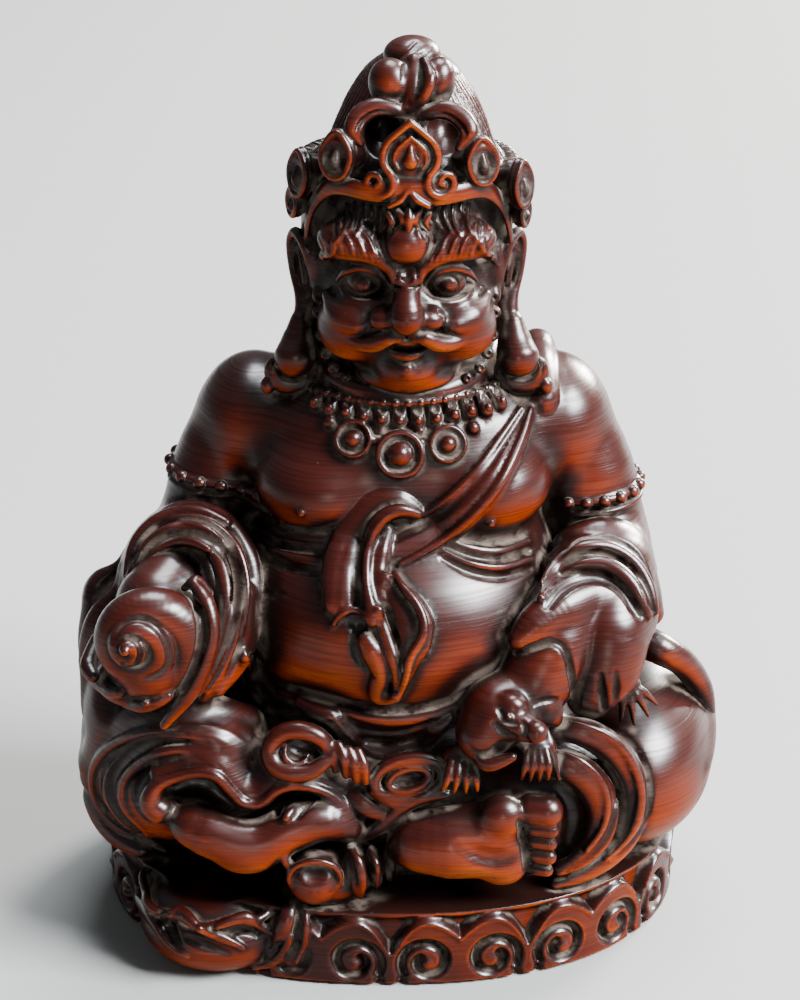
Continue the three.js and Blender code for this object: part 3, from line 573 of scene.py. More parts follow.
wood = newBlock("body")
levels(trunk, square=2.15)
egg((-0.6, -4.4, 37.6), (17.4, 16.2, 12.4), blend=3)  # the belly
for side in (-1, 1):
    egg((side * 8.2, -5.2, 52.4), (7.9, 8.4, 5.9), blend=1.6)
    egg((side * 16.3, 2.6, 56.0), (6.6 - 0.2 * (side < 0), 7.8, 7.4), blend=2.5)
    arm = [(side * 16.9, 2.6, 55.3), (side * 19.8, 1.4, 50), (side * 21.8, 0.5, 43)]
    limb(arm, (6.2, 5.9, 5.4), blend=0.9)
forearms = {
    "left": (limb, [(-21.8, 0.5, 43), (-25, -6, 40.5), (-26.4, -12, 39)], (5.6, 5.2, 4.6), 1.5),
    "right": (limb, [(21.6, 0.6, 43), (22.8, -4, 41.6), (21, -9, 40.4)], (5, 5, 4.6), 1.5),
}
build(forearms)

# the block between sleeve and waist, and the knees and thighs
masses = {
    "sleeveBlock": (egg, (-18.6, 3.2, 32), (4.6, 6.6, 7), 1.2),
    "leftKnee": (egg, (-25.2, -3.4, 18.9), (11, 15.6, 9.9), 1.5),
    "leftThigh": (egg, (-21.5, -11.2, 20.4), (11.2, 9.2, 7.4), 2, (0, -10, 0)),
    "rightKnee": (egg, (25.2, -2.4, 18.4), (10.3, 15.6, 10.6), 1.5),
    "rightThigh": (egg, (14.6, -10.6, 17.8), (11.4, 10.6, 8.8), 1.5),
}
build(masses)

# breast folds, nipples
breast = {
    "leftUpper": (ridge, [(256, 521), (272, 532), (300, 538), (345, 538)], (0.5, 0.75, 0.8, 0.6),
        -0.1, 0.5),
    "leftLower": (ridge, [(258, 542), (276, 553), (306, 561), (346, 563)], (0.45, 0.75, 0.8, 0.6),
        -0.15, 0.5),
    "leftGap": (groove, [(256, 530), (272, 542), (302, 549), (346, 551)], (0.35, 0.5, 0.5, 0.35),
        0.1),
    "leftUnder": (groove, [(258, 552), (278, 563), (308, 571), (348, 572)], (0.35, 0.5, 0.5, 0.35),
        0.15),
    "leftOver": (groove, [(257, 513), (276, 524), (304, 529), (344, 529)],
        (0.25, 0.35, 0.35, 0.25), 0.1),
    "rightUpper": (ridge, [(446, 541), (470, 549), (498, 552), (528, 541)], (0.5, 0.75, 0.8, 0.5),
        -0.1, 0.5),
    "rightLower": (ridge, [(444, 551), (470, 563), (500, 568), (532, 560)], (0.45, 0.75, 0.8, 0.5),
        -0.15, 0.5),
    "rightGap": (groove, [(446, 546), (470, 556), (499, 560), (530, 551)], (0.3, 0.45, 0.45, 0.3),
        0.1),
    "rightUnder": (groove, [(444, 559), (470, 572), (502, 577), (532, 568)],
        (0.35, 0.5, 0.5, 0.35), 0.15),
    "rightOver": (groove, [(450, 534), (472, 541), (499, 543), (527, 533)],
        (0.25, 0.35, 0.35, 0.25), 0.1),
    "leftNipple": (bead, 301, 513, (0.5, 0.45, 0.5), 0.15),
    "rightNipple": (bead, 491, 523, (0.5, 0.45, 0.5), 0.15),
    "bellyNick": (groove, [(258, 596), (270, 594), (285, 594)], (0.12, 0.2, 0.12), 0.05),
}
build(breast)

# sash over the breast: a broad band with three pleats, then the knot, its loop and two tails
sash = {
    "band": (ridge, [(527, 405), (512, 440), (489, 482), (455, 517), (420, 541), (392, 556)],
        (1, 1.7, 2, 2.1, 2.2, 1.9), -0.5, 0.25, 0.6),
    "upperPleat": (groove, [(527, 404), (508, 436), (482, 476), (447, 510), (414, 530),
        (392, 540)], (0.2, 0.35, 0.4, 0.4, 0.35), 0.2),
    "lowerPleat": (groove, [(528, 412), (513, 450), (489, 492), (456, 527), (424, 550),
        (396, 561)], (0.15, 0.3, 0.35, 0.3, 0.25), 0.2),
    "lowerEdge": (ridge, [(531, 408), (520, 442), (498, 486), (467, 521), (432, 547), (400, 565)],
        (0.3, 0.5, 0.55, 0.5, 0.4), 0.1, 0.2),
    "upperEdge": (ridge, [(521, 408), (501, 437), (475, 472), (442, 502), (412, 520)],
        (0.3, 0.45, 0.5, 0.4), 0.05, 0.2),
    "loop": (ridge, [(414, 511), (396, 503), (373, 510), (354, 534), (345, 562), (342, 582),
        (341, 600)], (1, 1.7, 2.1, 2.3, 2.4, 2.3, 1.9), 0.3, 0.2, 0.5),
    "loopInner": (ridge, [(418, 514), (400, 509), (380, 518), (369, 540), (366, 570), (370, 600),
        (373, 622)], (0.5, 0.7, 0.8, 0.8, 0.8, 0.8, 0.6), 0.9, 0.2),
    "loopHollow": (groove, [(408, 511), (390, 508), (371, 522), (360, 546), (356, 575),
        (359, 606)], (0.3, 0.45, 0.5, 0.5, 0.6, 0.7), 0.5),
    "loopEdge": (groove, [(401, 501), (378, 502), (356, 522), (343, 550), (337, 580), (336, 606)],
        (0.15, 0.3, 0.3, 0.3, 0.25), 0.3),
    "loopMouth": (groove, [(353, 617), (357, 626), (357, 634)], (0.9, 1.5, 1), 0.9),
    "mouthRim": (ridge, [(334, 624), (340, 614), (350, 609), (361, 610), (369, 617), (372, 628)],
        (0.35, 0.45, 0.42, 0.42, 0.45), 0.1, 0.15),
    "knot": (ridge, [(388, 530), (380, 552), (378, 578), (382, 604)], (0.8, 1.2, 1.1, 0.8), 0.2,
        0.25),
    "knotGroove": (groove, [(384, 532), (375, 556), (374, 584), (379, 606)],
        (0.25, 0.45, 0.45, 0.3), 0.4),
    "rightTail": (ridge, [(385, 580), (394, 594), (405, 608), (413, 625), (411, 642), (405, 656),
        (403, 676), (397, 697)], (0.9, 1.5, 2, 2.3, 2.2, 1.7, 1.1, 0.6), 0.1, 0.25, 0.5),
    "rightTailEdge": (ridge, [(394, 572), (403, 588), (416, 602), (425, 624), (421, 641),
        (410, 655), (406, 678), (397, 699)], (0.35, 0.5, 0.5, 0.55, 0.5, 0.45, 0.35), 0.9, 0.2),
    "rightTailGroove": (groove, [(382, 598), (387, 620), (393, 644), (399, 668)],
        (0.35, 0.7, 0.8, 0.5), 0.4),
    "rightTailNick": (groove, [(398, 600), (408, 612), (413, 628)], (0.25, 0.4, 0.3), 0.3),
    "middleTail": (ridge, [(378, 610), (384, 632), (392, 655), (397, 672), (396, 690)],
        (0.6, 0.8, 0.8, 0.6, 0.4), 0.3, 0.2),
    "leftTail": (ridge, [(366, 640), (372, 650), (380, 660), (382, 676), (376, 694), (386, 699),
        (396, 696)], (1, 1.3, 1.3, 1.2, 1.1, 0.8, 0.6), 0.1, 0.25),
    "leftTailGroove": (groove, [(354, 640), (356, 656), (364, 668), (372, 678)],
        (0.5, 0.6, 0.4, 0.3), 0.2),
}
build(sash)

# scarf and sleeve on the left
leftSleeve = {
    "wall": (limb, [(-17.8, -13, 41.7), (-18.3, -15, 37.9), (-19.7, -16.6, 34.9),
        (-21.6, -18, 32.7)], (2.2, 2.3, 2.1, 1.3), 1),
    "bulk": (egg, (-23.4, -5, 39.4), (8, 9.8, 9), 0.8, (-20, 0, 0)),
    "outerFold": (limb, [(-29.7, -5, 40.5), (-28.5, -5, 43.7), (-26.8, -5, 46), (-24.6, -5, 47.8),
        (-22.1, -6, 48.4), (-19.2, -8, 47.9), (-17, -10, 45.2), (-16.3, -12, 41.7),
        (-16.6, -14, 38.3), (-17.8, -16, 35.5), (-19.9, -18, 33.2)],
        (0.9, 1.1, 1.3, 1.3, 1.3, 1.3, 1.4, 1.4, 1.3, 1), 0.3),
    "middleFold": (limb, [(-29.1, -7, 41.9), (-27.7, -7, 44.7), (-26, -7, 46.6), (-23.7, -8, 48),
        (-20.8, -10, 48.3), (-18.5, -12, 47.2), (-17.4, -14, 44.9), (-17.3, -16, 42.3),
        (-18.1, -17, 38.9), (-19.6, -18, 35.6), (-21.2, -19, 33.5)],
        (0.7, 0.9, 1, 1, 1, 1, 1, 1, 0.9, 0.7), 0.3),
    "innerFold": (limb, [(-29.3, -8.5, 42.4), (-27.4, -9, 45.5), (-25.2, -9.5, 47),
        (-22.7, -11, 47.8), (-20.4, -13, 47.5), (-19.2, -15, 45.6), (-18.8, -17, 43.3),
        (-19.4, -18, 39.5), (-20.6, -19, 36.6), (-22.1, -20, 34)],
        (0.7, 0.9, 1, 1, 1, 1, 1.1, 1, 0.8), 0.3),
    "outerCrest": (ridge, [(127, 575), (133, 549), (149, 527), (174, 514), (202, 513), (226, 523)],
        (0.5, 0.8, 0.9, 0.9, 0.6), 0.1, 0.25),
    "middleCrest": (ridge, [(130, 576), (142, 552), (160, 535), (184, 526), (207, 530),
        (226, 545)], (0.5, 0.7, 0.75, 0.75, 0.5), 0.2, 0.2),
    "innerCrest": (ridge, [(137, 577), (151, 557), (168, 545), (190, 540), (208, 549)],
        (0.5, 0.7, 0.75, 0.5), 0.2, 0.2),
    "outerGroove": (groove, [(130, 564), (145, 538), (168, 522), (196, 519), (221, 531),
        (240, 560), (247, 600), (242, 640), (228, 676)], (0.25, 0.4, 0.4, 0.4, 0.4, 0.45, 0.45,
        0.4, 0.3), 0.15),
    "middleGroove": (groove, [(135, 568), (151, 545), (172, 534), (196, 533), (218, 544),
        (233, 566), (236, 600), (229, 640), (214, 672)], (0.3, 0.5, 0.55, 0.6, 0.8, 0.95, 0.95,
        0.7, 0.4), 0.2),
    "innerGroove": (groove, [(142, 583), (156, 566), (174, 556), (192, 556), (204, 570),
        (209, 602), (205, 640), (196, 668)], (0.5, 0.8, 0.9, 0.9, 0.8, 0.8, 0.8, 0.5), 0.5),
    "drape": (egg, (-30.8, -4.4, 30.4), (4.6, 8.6, 8.8), 0.8, (0, -6, 0)),
    "drapeFoot": (egg, (-32.6, -7.6, 25.6), (3, 6.4, 5.4), 1.2),
    "backCurl": (limb, [(-31.4, -3, 39.3), (-33.2, -3, 39), (-34.3, -3, 37.7), (-34.6, -3, 35.7),
        (-33.8, -3, 34.6), (-32.7, -3, 35.4)], (1, 1.1, 1.2, 1.2, 1, 0.7), 0.3),
    "backCurlGroove": (groove, [(118, 583), (108, 590), (104, 600)], (0.5, 0.6, 0.4), 0),
    "underEdge": (limb, [(-24.6, -15, 32), (-21.3, -15, 33), (-18.9, -15, 34), (-17.7, -13, 35.1)],
        (1.6, 1.8, 1.4, 1), 0.6),
}
build(leftSleeve)

# waistband: cords under the belly, and the cloth's upper edge
waistband = {
    "roll": (ridge, [(262, 676), (284, 692), (318, 705), (356, 714), (400, 717), (440, 710),
        (470, 694)], (1.2, 1.9, 2.2, 2.4, 2.4, 2, 1.2), -0.9, 1),
    "leftCord": (ridge, [(244, 655), (252, 672), (262, 694), (276, 708), (300, 712), (330, 716)],
        (0.8, 1.1, 1.2, 1.1, 0.9, 0.8), 0.1, 0.3),
    "leftCordGroove": (groove, [(250, 652), (262, 676), (276, 694), (300, 700), (330, 706)],
        (0.3, 0.5, 0.5, 0.4, 0.3), 0.2),
    "upperCord": (ridge, [(280, 690), (305, 697), (335, 706), (368, 716), (402, 718), (440, 712),
        (462, 700)], (0.6, 0.8, 0.9, 0.9, 0.9, 0.8, 0.6), 0, 0.35),
    "upperCordGroove": (groove, [(290, 688), (330, 699), (368, 709), (405, 711), (445, 703),
        (468, 690)], (0.3, 0.35, 0.4, 0.35, 0.3), 0.1),
    "lowerCord": (ridge, [(300, 702), (318, 712), (334, 716), (348, 732), (362, 746), (384, 752),
        (408, 748), (430, 734), (452, 716)], (0.7, 1, 1.1, 1.2, 1.3, 1.3, 1.3, 1.1, 0.8), 0.2, 0.3),
    "cordGap": (groove, [(338, 716), (352, 728), (372, 734), (402, 734), (432, 722)],
        (0.4, 0.6, 0.6, 0.6, 0.3), 0.4),
    "lowerCordGroove": (groove, [(330, 724), (344, 740), (360, 755), (386, 762), (412, 757)],
        (0.3, 0.5, 0.5, 0.5, 0.3), 0.1),
}
build(waistband)

# cloth over the left leg: nested folds round the knee, a wavy hem, and the foot under it
leftKneeCloth = {
    "outerFold": (limb, [(-17.3, -15, 27.1), (-20.5, -16.2, 28.5), (-24.2, -16.6, 29.2),
        (-28.3, -14.6, 27.3), (-31.8, -11.6, 23.6), (-33.7, -9.4, 19.6), (-34.3, -9, 16),
        (-33.6, -10, 12.9), (-31.8, -12, 11.2), (-29.2, -14, 10.4)],
        (2.2, 2.6, 2.7, 2.6, 2.4, 2.2, 2, 1.8, 1.5, 1), 1.4),
    "innerFold": (limb, [(-17.4, -18, 26.5), (-21.4, -18.6, 27.8), (-25.2, -18, 27),
        (-28.8, -15.6, 23.6), (-31.1, -14, 19.2), (-30.5, -14.4, 16.1), (-28.5, -15, 13.9)],
        (1.6, 2, 2.2, 2.2, 2, 1.6, 1), 1),
    "outerGroove": (groove, [(243, 759), (215, 747), (193, 742), (160, 742), (134, 751),
        (115, 767), (108, 787), (113, 808), (130, 827), (150, 841)],
        (0.4, 0.8, 0.9, 1, 1, 0.9, 0.9, 0.8, 0.6, 0.4), 0.2),
    "innerGroove": (groove, [(232, 768), (210, 760), (184, 759), (160, 768), (142, 784),
        (138, 803), (148, 820)], (0.7, 1.4, 1.7, 1.6, 1.3, 1, 0.6), 0.4),
    "topCrest": (ridge, [(180, 726), (200, 727), (217, 731), (233, 738), (251, 749)],
        (0.3, 0.5, 0.5, 0.5, 0.3), 0, 0.3),
    "outerCrest": (ridge, [(250, 754), (224, 741), (200, 735), (162, 732), (127, 738), (104, 753),
        (94, 771), (95, 792), (105, 813), (123, 829), (143, 839), (165, 851)],
        (0.35, 0.6, 0.65, 0.7, 0.7, 0.7, 0.7, 0.65, 0.6, 0.55, 0.5, 0.3), 0.1, 0.3),
    "innerCrest": (ridge, [(241, 765), (219, 754), (198, 749), (168, 750), (146, 760), (128, 775),
        (122, 793), (128, 812), (143, 828)], (0.3, 0.55, 0.6, 0.65, 0.65, 0.6, 0.6, 0.5, 0.3), 0.1,
        0.3),
    "edgeGroove": (groove, [(186, 735), (160, 736), (130, 744), (109, 759), (101, 778), (103, 799),
        (116, 819)], (0.2, 0.3, 0.35, 0.35, 0.35, 0.3, 0.2), 0.1),
}
build(leftKneeCloth)
hem = [(-25.4, -21.0, 20.3), (-26.4, -21.5, 20.1), (-27.2, -21.5, 21.3), (-26.4, -21.5, 23.2),
    (-24.2, -21.5, 24.3), (-21.8, -22.0, 25.1), (-20.0, -22.5, 24.9), (-18.6, -22.5, 23.2),
    (-17.4, -22.5, 21.7), (-15.9, -22.5, 21.3), (-14.7, -22.5, 21.9), (-13.6, -22.5, 23.0),
    (-12.0, -22.5, 23.7), (-9.9, -22.0, 23.2), (-7.6, -21.5, 21.8), (-5.9, -21.0, 19.8),
    (-4.9, -20.4, 17.4), (-4.5, -19.6, 15.1)]

# the cloth behind the hem, from back to front: back, up, radius, blend and the hem's points
for back, up, r, blend, low, high in (
    (4.2, 1.9, 2.3, 1.6, 6, 15), (2.6, 1.3, 1.7, 1.2, 5, 16), (1.2, 0.7, 1.0, 0.8, 3, 17),
):
    limb([(p[0], p[1] + back, p[2] + up) for p in hem[low:high]], r, blend=blend)
limb(hem, (0.9, 1.5, 1.3, 0.85, 0.7, 0.65, *[0.6] * 10, 0.55, 0.5), blend=0.25)
leftFoot = {
    "hollow": (groove, [(176, 790), (192, 784), (206, 786), (218, 796), (232, 806)],
        (0.9, 1.5, 1.6, 1.3, 0.7), 0.2, 0.4),
    "rightHollow": (groove, [(270, 812), (280, 802), (292, 797), (304, 798)], (0.6, 1, 1, 0.6),
        0.2, 0.3),
    "foot": (limb, [(-23.3, -21.6, 18.4), (-21.1, -22.4, 17.8), (-18.1, -22.8, 16.8),
        (-15.3, -22.6, 16.7), (-12, -22.2, 18.2), (-8.8, -21.6, 18.9), (-6.2, -20.8, 17.6)],
        (1.9, 2.6, 2.7, 2.7, 2.6, 2.4, 1.8), 1.2),
    "heel": (egg, (-22.9, -22, 18.4), (2, 2.2, 2.1), 0.8),
    "ball": (egg, (-17, -22.8, 15.4), (3.2, 2.4, 2.1), 1),
    "fold": (ridge, [(286, 818), (293, 808), (303, 798)], (0.5, 0.6, 0.4), 0.3, 0.2),
    "foldGroove": (groove, [(276, 814), (284, 804), (294, 797)], (0.4, 0.5, 0.3), 0.1),
    "foldUnder": (groove, [(297, 818), (304, 808), (312, 800)], (0.3, 0.4, 0.3), 0.1),
}
build(leftFoot)

# the right leg's cloth: the hem over the sole, and two cuffs round the shin
rightLegCloth = {
    "lapHem": (limb, [(-5.8, -20, 15.1), (-2.7, -21, 17.5), (0.1, -21.5, 20.6), (2.3, -21.6, 21.9),
        (4.7, -21.4, 22)], (0.6, 0.8, 0.9, 0.9, 0.6), 0.35),
    "outerCuff": (limb, [(16.5, -18.6, 28.6), (19.6, -18.8, 28.1), (22.2, -18.4, 26.2),
        (24.3, -17.6, 22.8), (25.2, -17.2, 18.8), (24.4, -17.4, 14.8), (22.2, -18.2, 12.2),
        (19.1, -19.2, 10.4), (16.9, -19.8, 9.6)], (1.2, 1.6, 1.75, 1.8, 1.85, 1.8, 1.6, 1.2, 0.8),
        0.35),
    "innerCuff": (limb, [(15.7, -20, 25.2), (18.3, -20.4, 24.7), (20.5, -20, 22.4),
        (21.6, -19.6, 19.4), (21.2, -19.6, 16.1), (19.4, -19.8, 13.4), (17.3, -20.2, 11.9)],
        (1.4, 1.8, 2, 2, 1.9, 1.5, 0.9), 0.3),
    "outerCrest": (ridge, [(572, 722), (604, 733), (626, 753), (639, 781), (640, 808), (629, 836),
        (606, 858)], (0.3, 0.5, 0.55, 0.6, 0.6, 0.5, 0.3), 0.1, 0.3),
    "outerGroove": (groove, [(566, 714), (600, 722), (628, 740), (645, 768), (650, 800),
        (642, 830), (618, 858)], (0.2, 0.35, 0.4, 0.4, 0.4, 0.35, 0.2), 0.1),
    "cuffGap": (groove, [(556, 742), (586, 751), (608, 770), (618, 798), (613, 829), (594, 855),
        (566, 873)], (0.3, 0.5, 0.6, 0.65, 0.65, 0.5, 0.3), 0.3),
    "innerHollow": (groove, [(558, 790), (571, 803), (575, 820), (570, 840), (556, 858)],
        (0.6, 1.1, 1.3, 1.1, 0.6), 0.4),
    "innerCrest": (ridge, [(560, 752), (582, 761), (600, 779), (608, 802), (603, 828), (586, 850)],
        (0.3, 0.4, 0.45, 0.45, 0.4, 0.3), 0.1, 0.25),
}
build(rightLegCloth)

# the turned foot: sole, ball and five toes
rightFoot = {
    "sole": (limb, [(0.4, -21.4, 15.5), (2.3, -22.2, 16.5), (5.3, -22.4, 16.6), (8.4, -22, 16.6),
        (10.1, -21.6, 15.8)], (2.3, 3.4, 4, 4.2, 4), 1, 0.75),
    "toeBall": (egg, (10.7, -22.8, 20.1), (2.6, 2.2, 2.5), 1.2, (0, -20, 0)),
    "heel": (egg, (11, -22.2, 13.9), (2.5, 2.2, 2.4), 1.2),
    "arch": (groove, [(462, 846), (478, 856), (498, 861), (518, 856)], (0.5, 1.1, 1.1, 0.4), 0.5,
        0.9),
    "toeCrease": (groove, [(520, 822), (524, 846), (526, 868)], (0.4, 0.4, 0.3), 0.1),
}
build(rightFoot)
toes = (
    (14.9, -22.6, 20.6, 2.0, 1.75), (15.2, -23.2, 18.6, 2.2, 0.95), (15.2, -23.2, 16.9, 2.0, 0.85),
    (15.2, -23.2, 15.2, 1.8, 0.9), (15.1, -23.0, 13.4, 1.6, 0.75),
)
for x, y, z, long, r in toes:
    limb([(x - 0.5 * long, y + 0.4, z), (x + 0.35 * long, y, z)], r, blend=0.15)

# the small conch under the hem: a flared mouth, then ribs that get smaller
smallConch = {
    "body": (egg, (-7.8, -20, 11.3), (5.2, 4.4, 3.4), 0.6, (0, -12, 0)),
    "flare": (limb, [(-9.6, -22.8, 12.4), (-9.1, -19, 10.4)], (3.05, 2.6), 0.4),
    "mouth": (dent, (-9.5, -27.2, 15.3), (3.3, 3.1, 2.7), 0.15, (14, 0, 0)),
}
build(smallConch)
limb(ellipse((-9.5, -24.5, 13.4), 2.8, 2.35, -0.5), 0.4, blend=0.12)
limb([(-12.0, -24.0, 14.3), (-12.8, -24.4, 15.8), (-12.1, -24.0, 16.3)], (0.7, 0.5, 0.35),
    blend=0.3)
ribs = ((-5.3, -22.0, 12.8, 3.2, 1.05), (-3.1, -21.0, 12.7, 2.5, 0.85),
    (-1.5, -20.0, 12.5, 1.9, 0.7))
for x, y, z, r, thick in ribs:
    egg((x, y, z), (thick, 2.7, r), blend=0.15, turn=(0, -9, 0))
conchCover = {
    "left": (limb, [(-5.7, -23, 15.9), (-4.8, -24.2, 15.2), (-4.4, -24.6, 13.1),
        (-4.6, -23.6, 10.5)], (0.35, 0.55, 0.6, 0.4), 0.2),
    "right": (limb, [(-3.6, -22, 15.3), (-2.9, -23.4, 14.4), (-2.7, -23, 12.1)], (0.3, 0.45, 0.4),
        0.2),
}
build(conchCover)

# the bow under the belly: a hollow loop, a knot of four pleats, a flatter loop and a tail
leftLoop = {
    "lap": (egg, (-3, -14.6, 21.4), (13.5, 4.8, 5), 1.5),
    "back": (egg, (-11.4, -18, 25.1), (3.1, 2.4, 2.3), 0.4),
    "middle": (egg, (-11.5, -19.6, 26.1), (3.3, 1.8, 2.35), 0.3, (0, 6, 0)),
    "ring": (limb, [(-8.1, -20.8, 27.1), (-9, -21, 28.8), (-11, -20.8, 29.5), (-13.1, -20.6, 28.9),
        (-14.3, -20.8, 27.2), (-13.7, -21.6, 25.7), (-12, -22.2, 25.1), (-9.9, -22.2, 25.3),
        (-8.2, -21.6, 26.3)], (0.9, 1.05, 1.1, 1.1, 1.1, 1.1, 1.05, 0.95, 0.8), 0.25),
    "hollow": (dent, (-10.9, -22.2, 27.7), (2.1, 1.7, 1.15), 0.25, (0, 10, 0)),
    "lining": (limb, [(-12.5, -21.2, 28.1), (-12.7, -21.8, 27.1), (-12, -22, 26.2),
        (-10.7, -21.8, 26.2), (-10.1, -21.4, 27)], (0.25, 0.35, 0.4, 0.35, 0.15), 0.15),
}
build(leftLoop)
knotPleats = ((-7.5, -21.6, 26.6), (-6.4, -22.0, 26.2), (-5.3, -22.2, 25.7), (-4.3, -22.2, 25.5))
for x, y, z in knotPleats:
    pleat = [(x - 0.5, y + 0.9, z + 1.8), (x + 0.1, y + 0.1, z + 0.4), (x + 0.3, y + 0.3, z - 1.6)]
    limb(pleat, (0.5, 0.62, 0.5), blend=0.22)

# the right loop: rings within each other, closed in the middle
egg((0.8, -19.4, 23.1), (4.0, 2.0, 2.35), blend=0.3, turn=(0, -8, 0))
for front, reachX, reachZ, r in ((-21.3, 3.75, 2.25, 0.72), (-21.6, 2.2, 1.25, 0.5)):
    limb(ellipse((0.7, front, 24.0), reachX, reachZ, 0.3, 0.25, 0.35), r, blend=0.2)
dent((0.7, -21.6, 24.0), (1.2, 0.7, 0.45), blend=0.2)
bowTail = {
    "tail": (limb, [(-5.5, -20, 22.2), (-4.2, -21, 21), (-2.3, -21, 20), (-1.2, -20.6, 20.8)],
        (1.2, 1.6, 1.4, 0.9), 0.3, 0.5),
    "groove": (groove, [(360, 788), (374, 800), (388, 806)], 0.25, 0.1),
    "edge": (limb, [(-3.3, -21.4, 22.3), (-0.9, -21.6, 21), (1.9, -21.2, 21.1), (4, -20.6, 22.5)],
        (0.5, 0.7, 0.7, 0.4), 0.25),
}
build(bowTail)

# necklace: a padded collar, a row of drops, three medallions, and the beads' cords

necklace = {
    "dropLine": [
        (318, 404), (334, 411), (354, 415), (374, 418), (392, 421), (411, 421), (432, 420),
        (450, 417), (468, 413), (484, 411), (498, 405),
    ],
    "drops": 12,
    "beadLine": [
        (312, 388), (330, 394), (352, 399), (378, 402), (405, 403), (434, 401), (460, 396),
        (482, 390), (500, 382),
    ],
    "medallions": ((354, 439, 2.1), (400, 454, 2.65), (447, 444, 2.1)),
    "smallBeads": (
        (376, 440, 0.5), (424, 441, 0.5), (330, 422, 0.75), (473, 428, 0.75), (380, 430, 0.5),
        (420, 431, 0.5),
    ),
}
collar = []
for a in np.linspace(-1.5, 1.5, 13):
    collar.append((9.6 * math.sin(a), 0.9 - 10.0 * math.cos(a), 63.6 + 0.9 * a * a))
limb(collar, (0.9, 1.2, 1.3, 1.2, 0.9), blend=1.0)


def evenly(path, count):
    run = np.concatenate([[0], np.cumsum(np.linalg.norm(np.diff(path, axis=0), axis=1))])
    at = np.linspace(0, run[-1], count)
    return np.stack([np.interp(at, run, path[:, k]) for k in range(3)], 1)


cords = {}
line, _ = smoothPath(necklace["dropLine"], 3.0)
dropCord = []
for place in evenly(onto(line), necklace["drops"]):
    n = wood.slope(place[None], 1.2)[0]
    upward = np.array([0, 0, 1.0]) - n[2] * n
    upward = upward / np.linalg.norm(upward)
    drop = [place + upward * 2.3 + n * 0.1, place + upward * 1.2 + n * 0.45, place + n * 0.3]
    limb(drop, (0.4, 0.72, 0.85), blend=0.2)
    dent(place + upward * 1.15 + n * 1.15, (0.42, 0.55, 0.62), blend=0.12)
    dropCord.append(place + n * 0.85)
line, _ = smoothPath(necklace["beadLine"], 3.0)
cords["collar"] = calm(onto(line, 0.15), 4)
tube(cords["collar"], np.full(len(line), 0.3), 0.3)
cords["drops"] = np.array(dropCord)
for px, py, r in necklace["medallions"]:
    centre = onto([(px, py)], 0.0)[0]
    n = wood.slope(centre[None], 1.2)[0]
    a = np.cross(n, (0, 0, 1.0))
    a = a / np.linalg.norm(a)
    b = np.cross(n, a)
    tube(np.array([centre - n * 0.6, centre + n * 0.25]), np.array([r, r]), 0.2, flat=0.3, facing=n)
    for height, reach, thick, cut in ((0.55, r - 0.3, 0.33, False), (0.75, 0.62 * r, 0.32, True)):
        ring = [a * math.cos(t) + b * math.sin(t) for t in np.linspace(0, 2 * math.pi, 33)]
        tube(centre + n * height + reach * np.array(ring), np.full(33, thick), 0.12, cut)
    egg(centre + n * 0.5, np.full(3, 0.44) * r, blend=0.08)
for px, py, r in necklace["smallBeads"]:
    bead(px, py, r, 0.15, 0.15)

# armlets: a cord of beads and a plain ring under it, round each arm
for side in (-1, 1):
    middle = np.array([20.0 * side, 1.7, 50.9 if side < 0 else 48.9])
    axis = np.array([3.4 * side, -1.2, -7.0])
    axis = axis / np.linalg.norm(axis)
    turns = np.radians(np.linspace(-115, 115 - 8 * side, 64))
    away = np.array([(math.cos(t) * side, -math.sin(t), 0.06 * math.cos(t)) for t in turns])
    away = away / np.linalg.norm(away, axis=1, keepdims=True)
    for name, drop, r in (("beads", 0.0, 0.5), ("ring", 1.25 + 0.15 * side, 0.45)):
        path = calm(meet(middle + axis * drop + away * 16, -away, 2, 14), 5)
        tube(path, np.full(len(path), r), 0.25)
        if name == "beads":
            cords["armlet" + ("Left" if side < 0 else "Right")] = path + 0.25 * away
    edge = calm(meet(middle + axis * 0.8 + away * 16, -away, 2, 14), 5)
    tube(edge, np.full(len(edge), 0.3), 0.2, True)


# the back, plainer: long hair in locks, the sash, the chest band, the waistband and a few folds
def behind(points, radii, lift=0.0, blend=0.6, cut=False, way=(0.0, -1.0, 0.0)):
    places = [(x, 45.0, z) if way[1] else (-60.0 * way[0], x, z) for x, z in points]
    line, share = smoothPath(places, 0.7)
    path = calm(meet(line, np.broadcast_to(way, line.shape), 12, 62), 6)
    path = path - along(lift, share)[:, None] * np.array(way)
    tube(path, along(radii, share), blend, cut)


hairLocks()
behind([(15.2, 61.5), (12, 57.4), (5, 52), (-4, 48), (-12, 46.4), (-17, 46.6)],
    (2.0, 2.3, 2.3, 2.0), -0.9, 0.4)
behind([(16.0, 60.4), (12.6, 56.2), (5.4, 50.8), (-3.8, 46.9), (-11.8, 45.4), (-17, 45.6)], 0.35,
    0.4, 0.3, True)
behind([(-17.4, 43.6), (-8, 41.8), (0, 41.4), (8, 41.8), (17.4, 43.6)], (1.0, 1.5, 1.5, 1.0), -0.5,
    0.4)
behind([(-17.2, 42.4), (-8, 40.6), (0, 40.2), (8, 40.6), (17.2, 42.4)], 0.35, 0.3, 0.3, True)
behind([(-16.5, 31.6), (-8, 29.6), (0, 29), (8, 29.6), (16.5, 31.6)], (1.3, 1.8, 1.3), -0.3, 0.6)
behind([(-16.5, 29.4), (-8, 27.4), (0, 26.8), (8, 27.4), (16.5, 29.4)], 0.6, 0.3, 0.4, True)
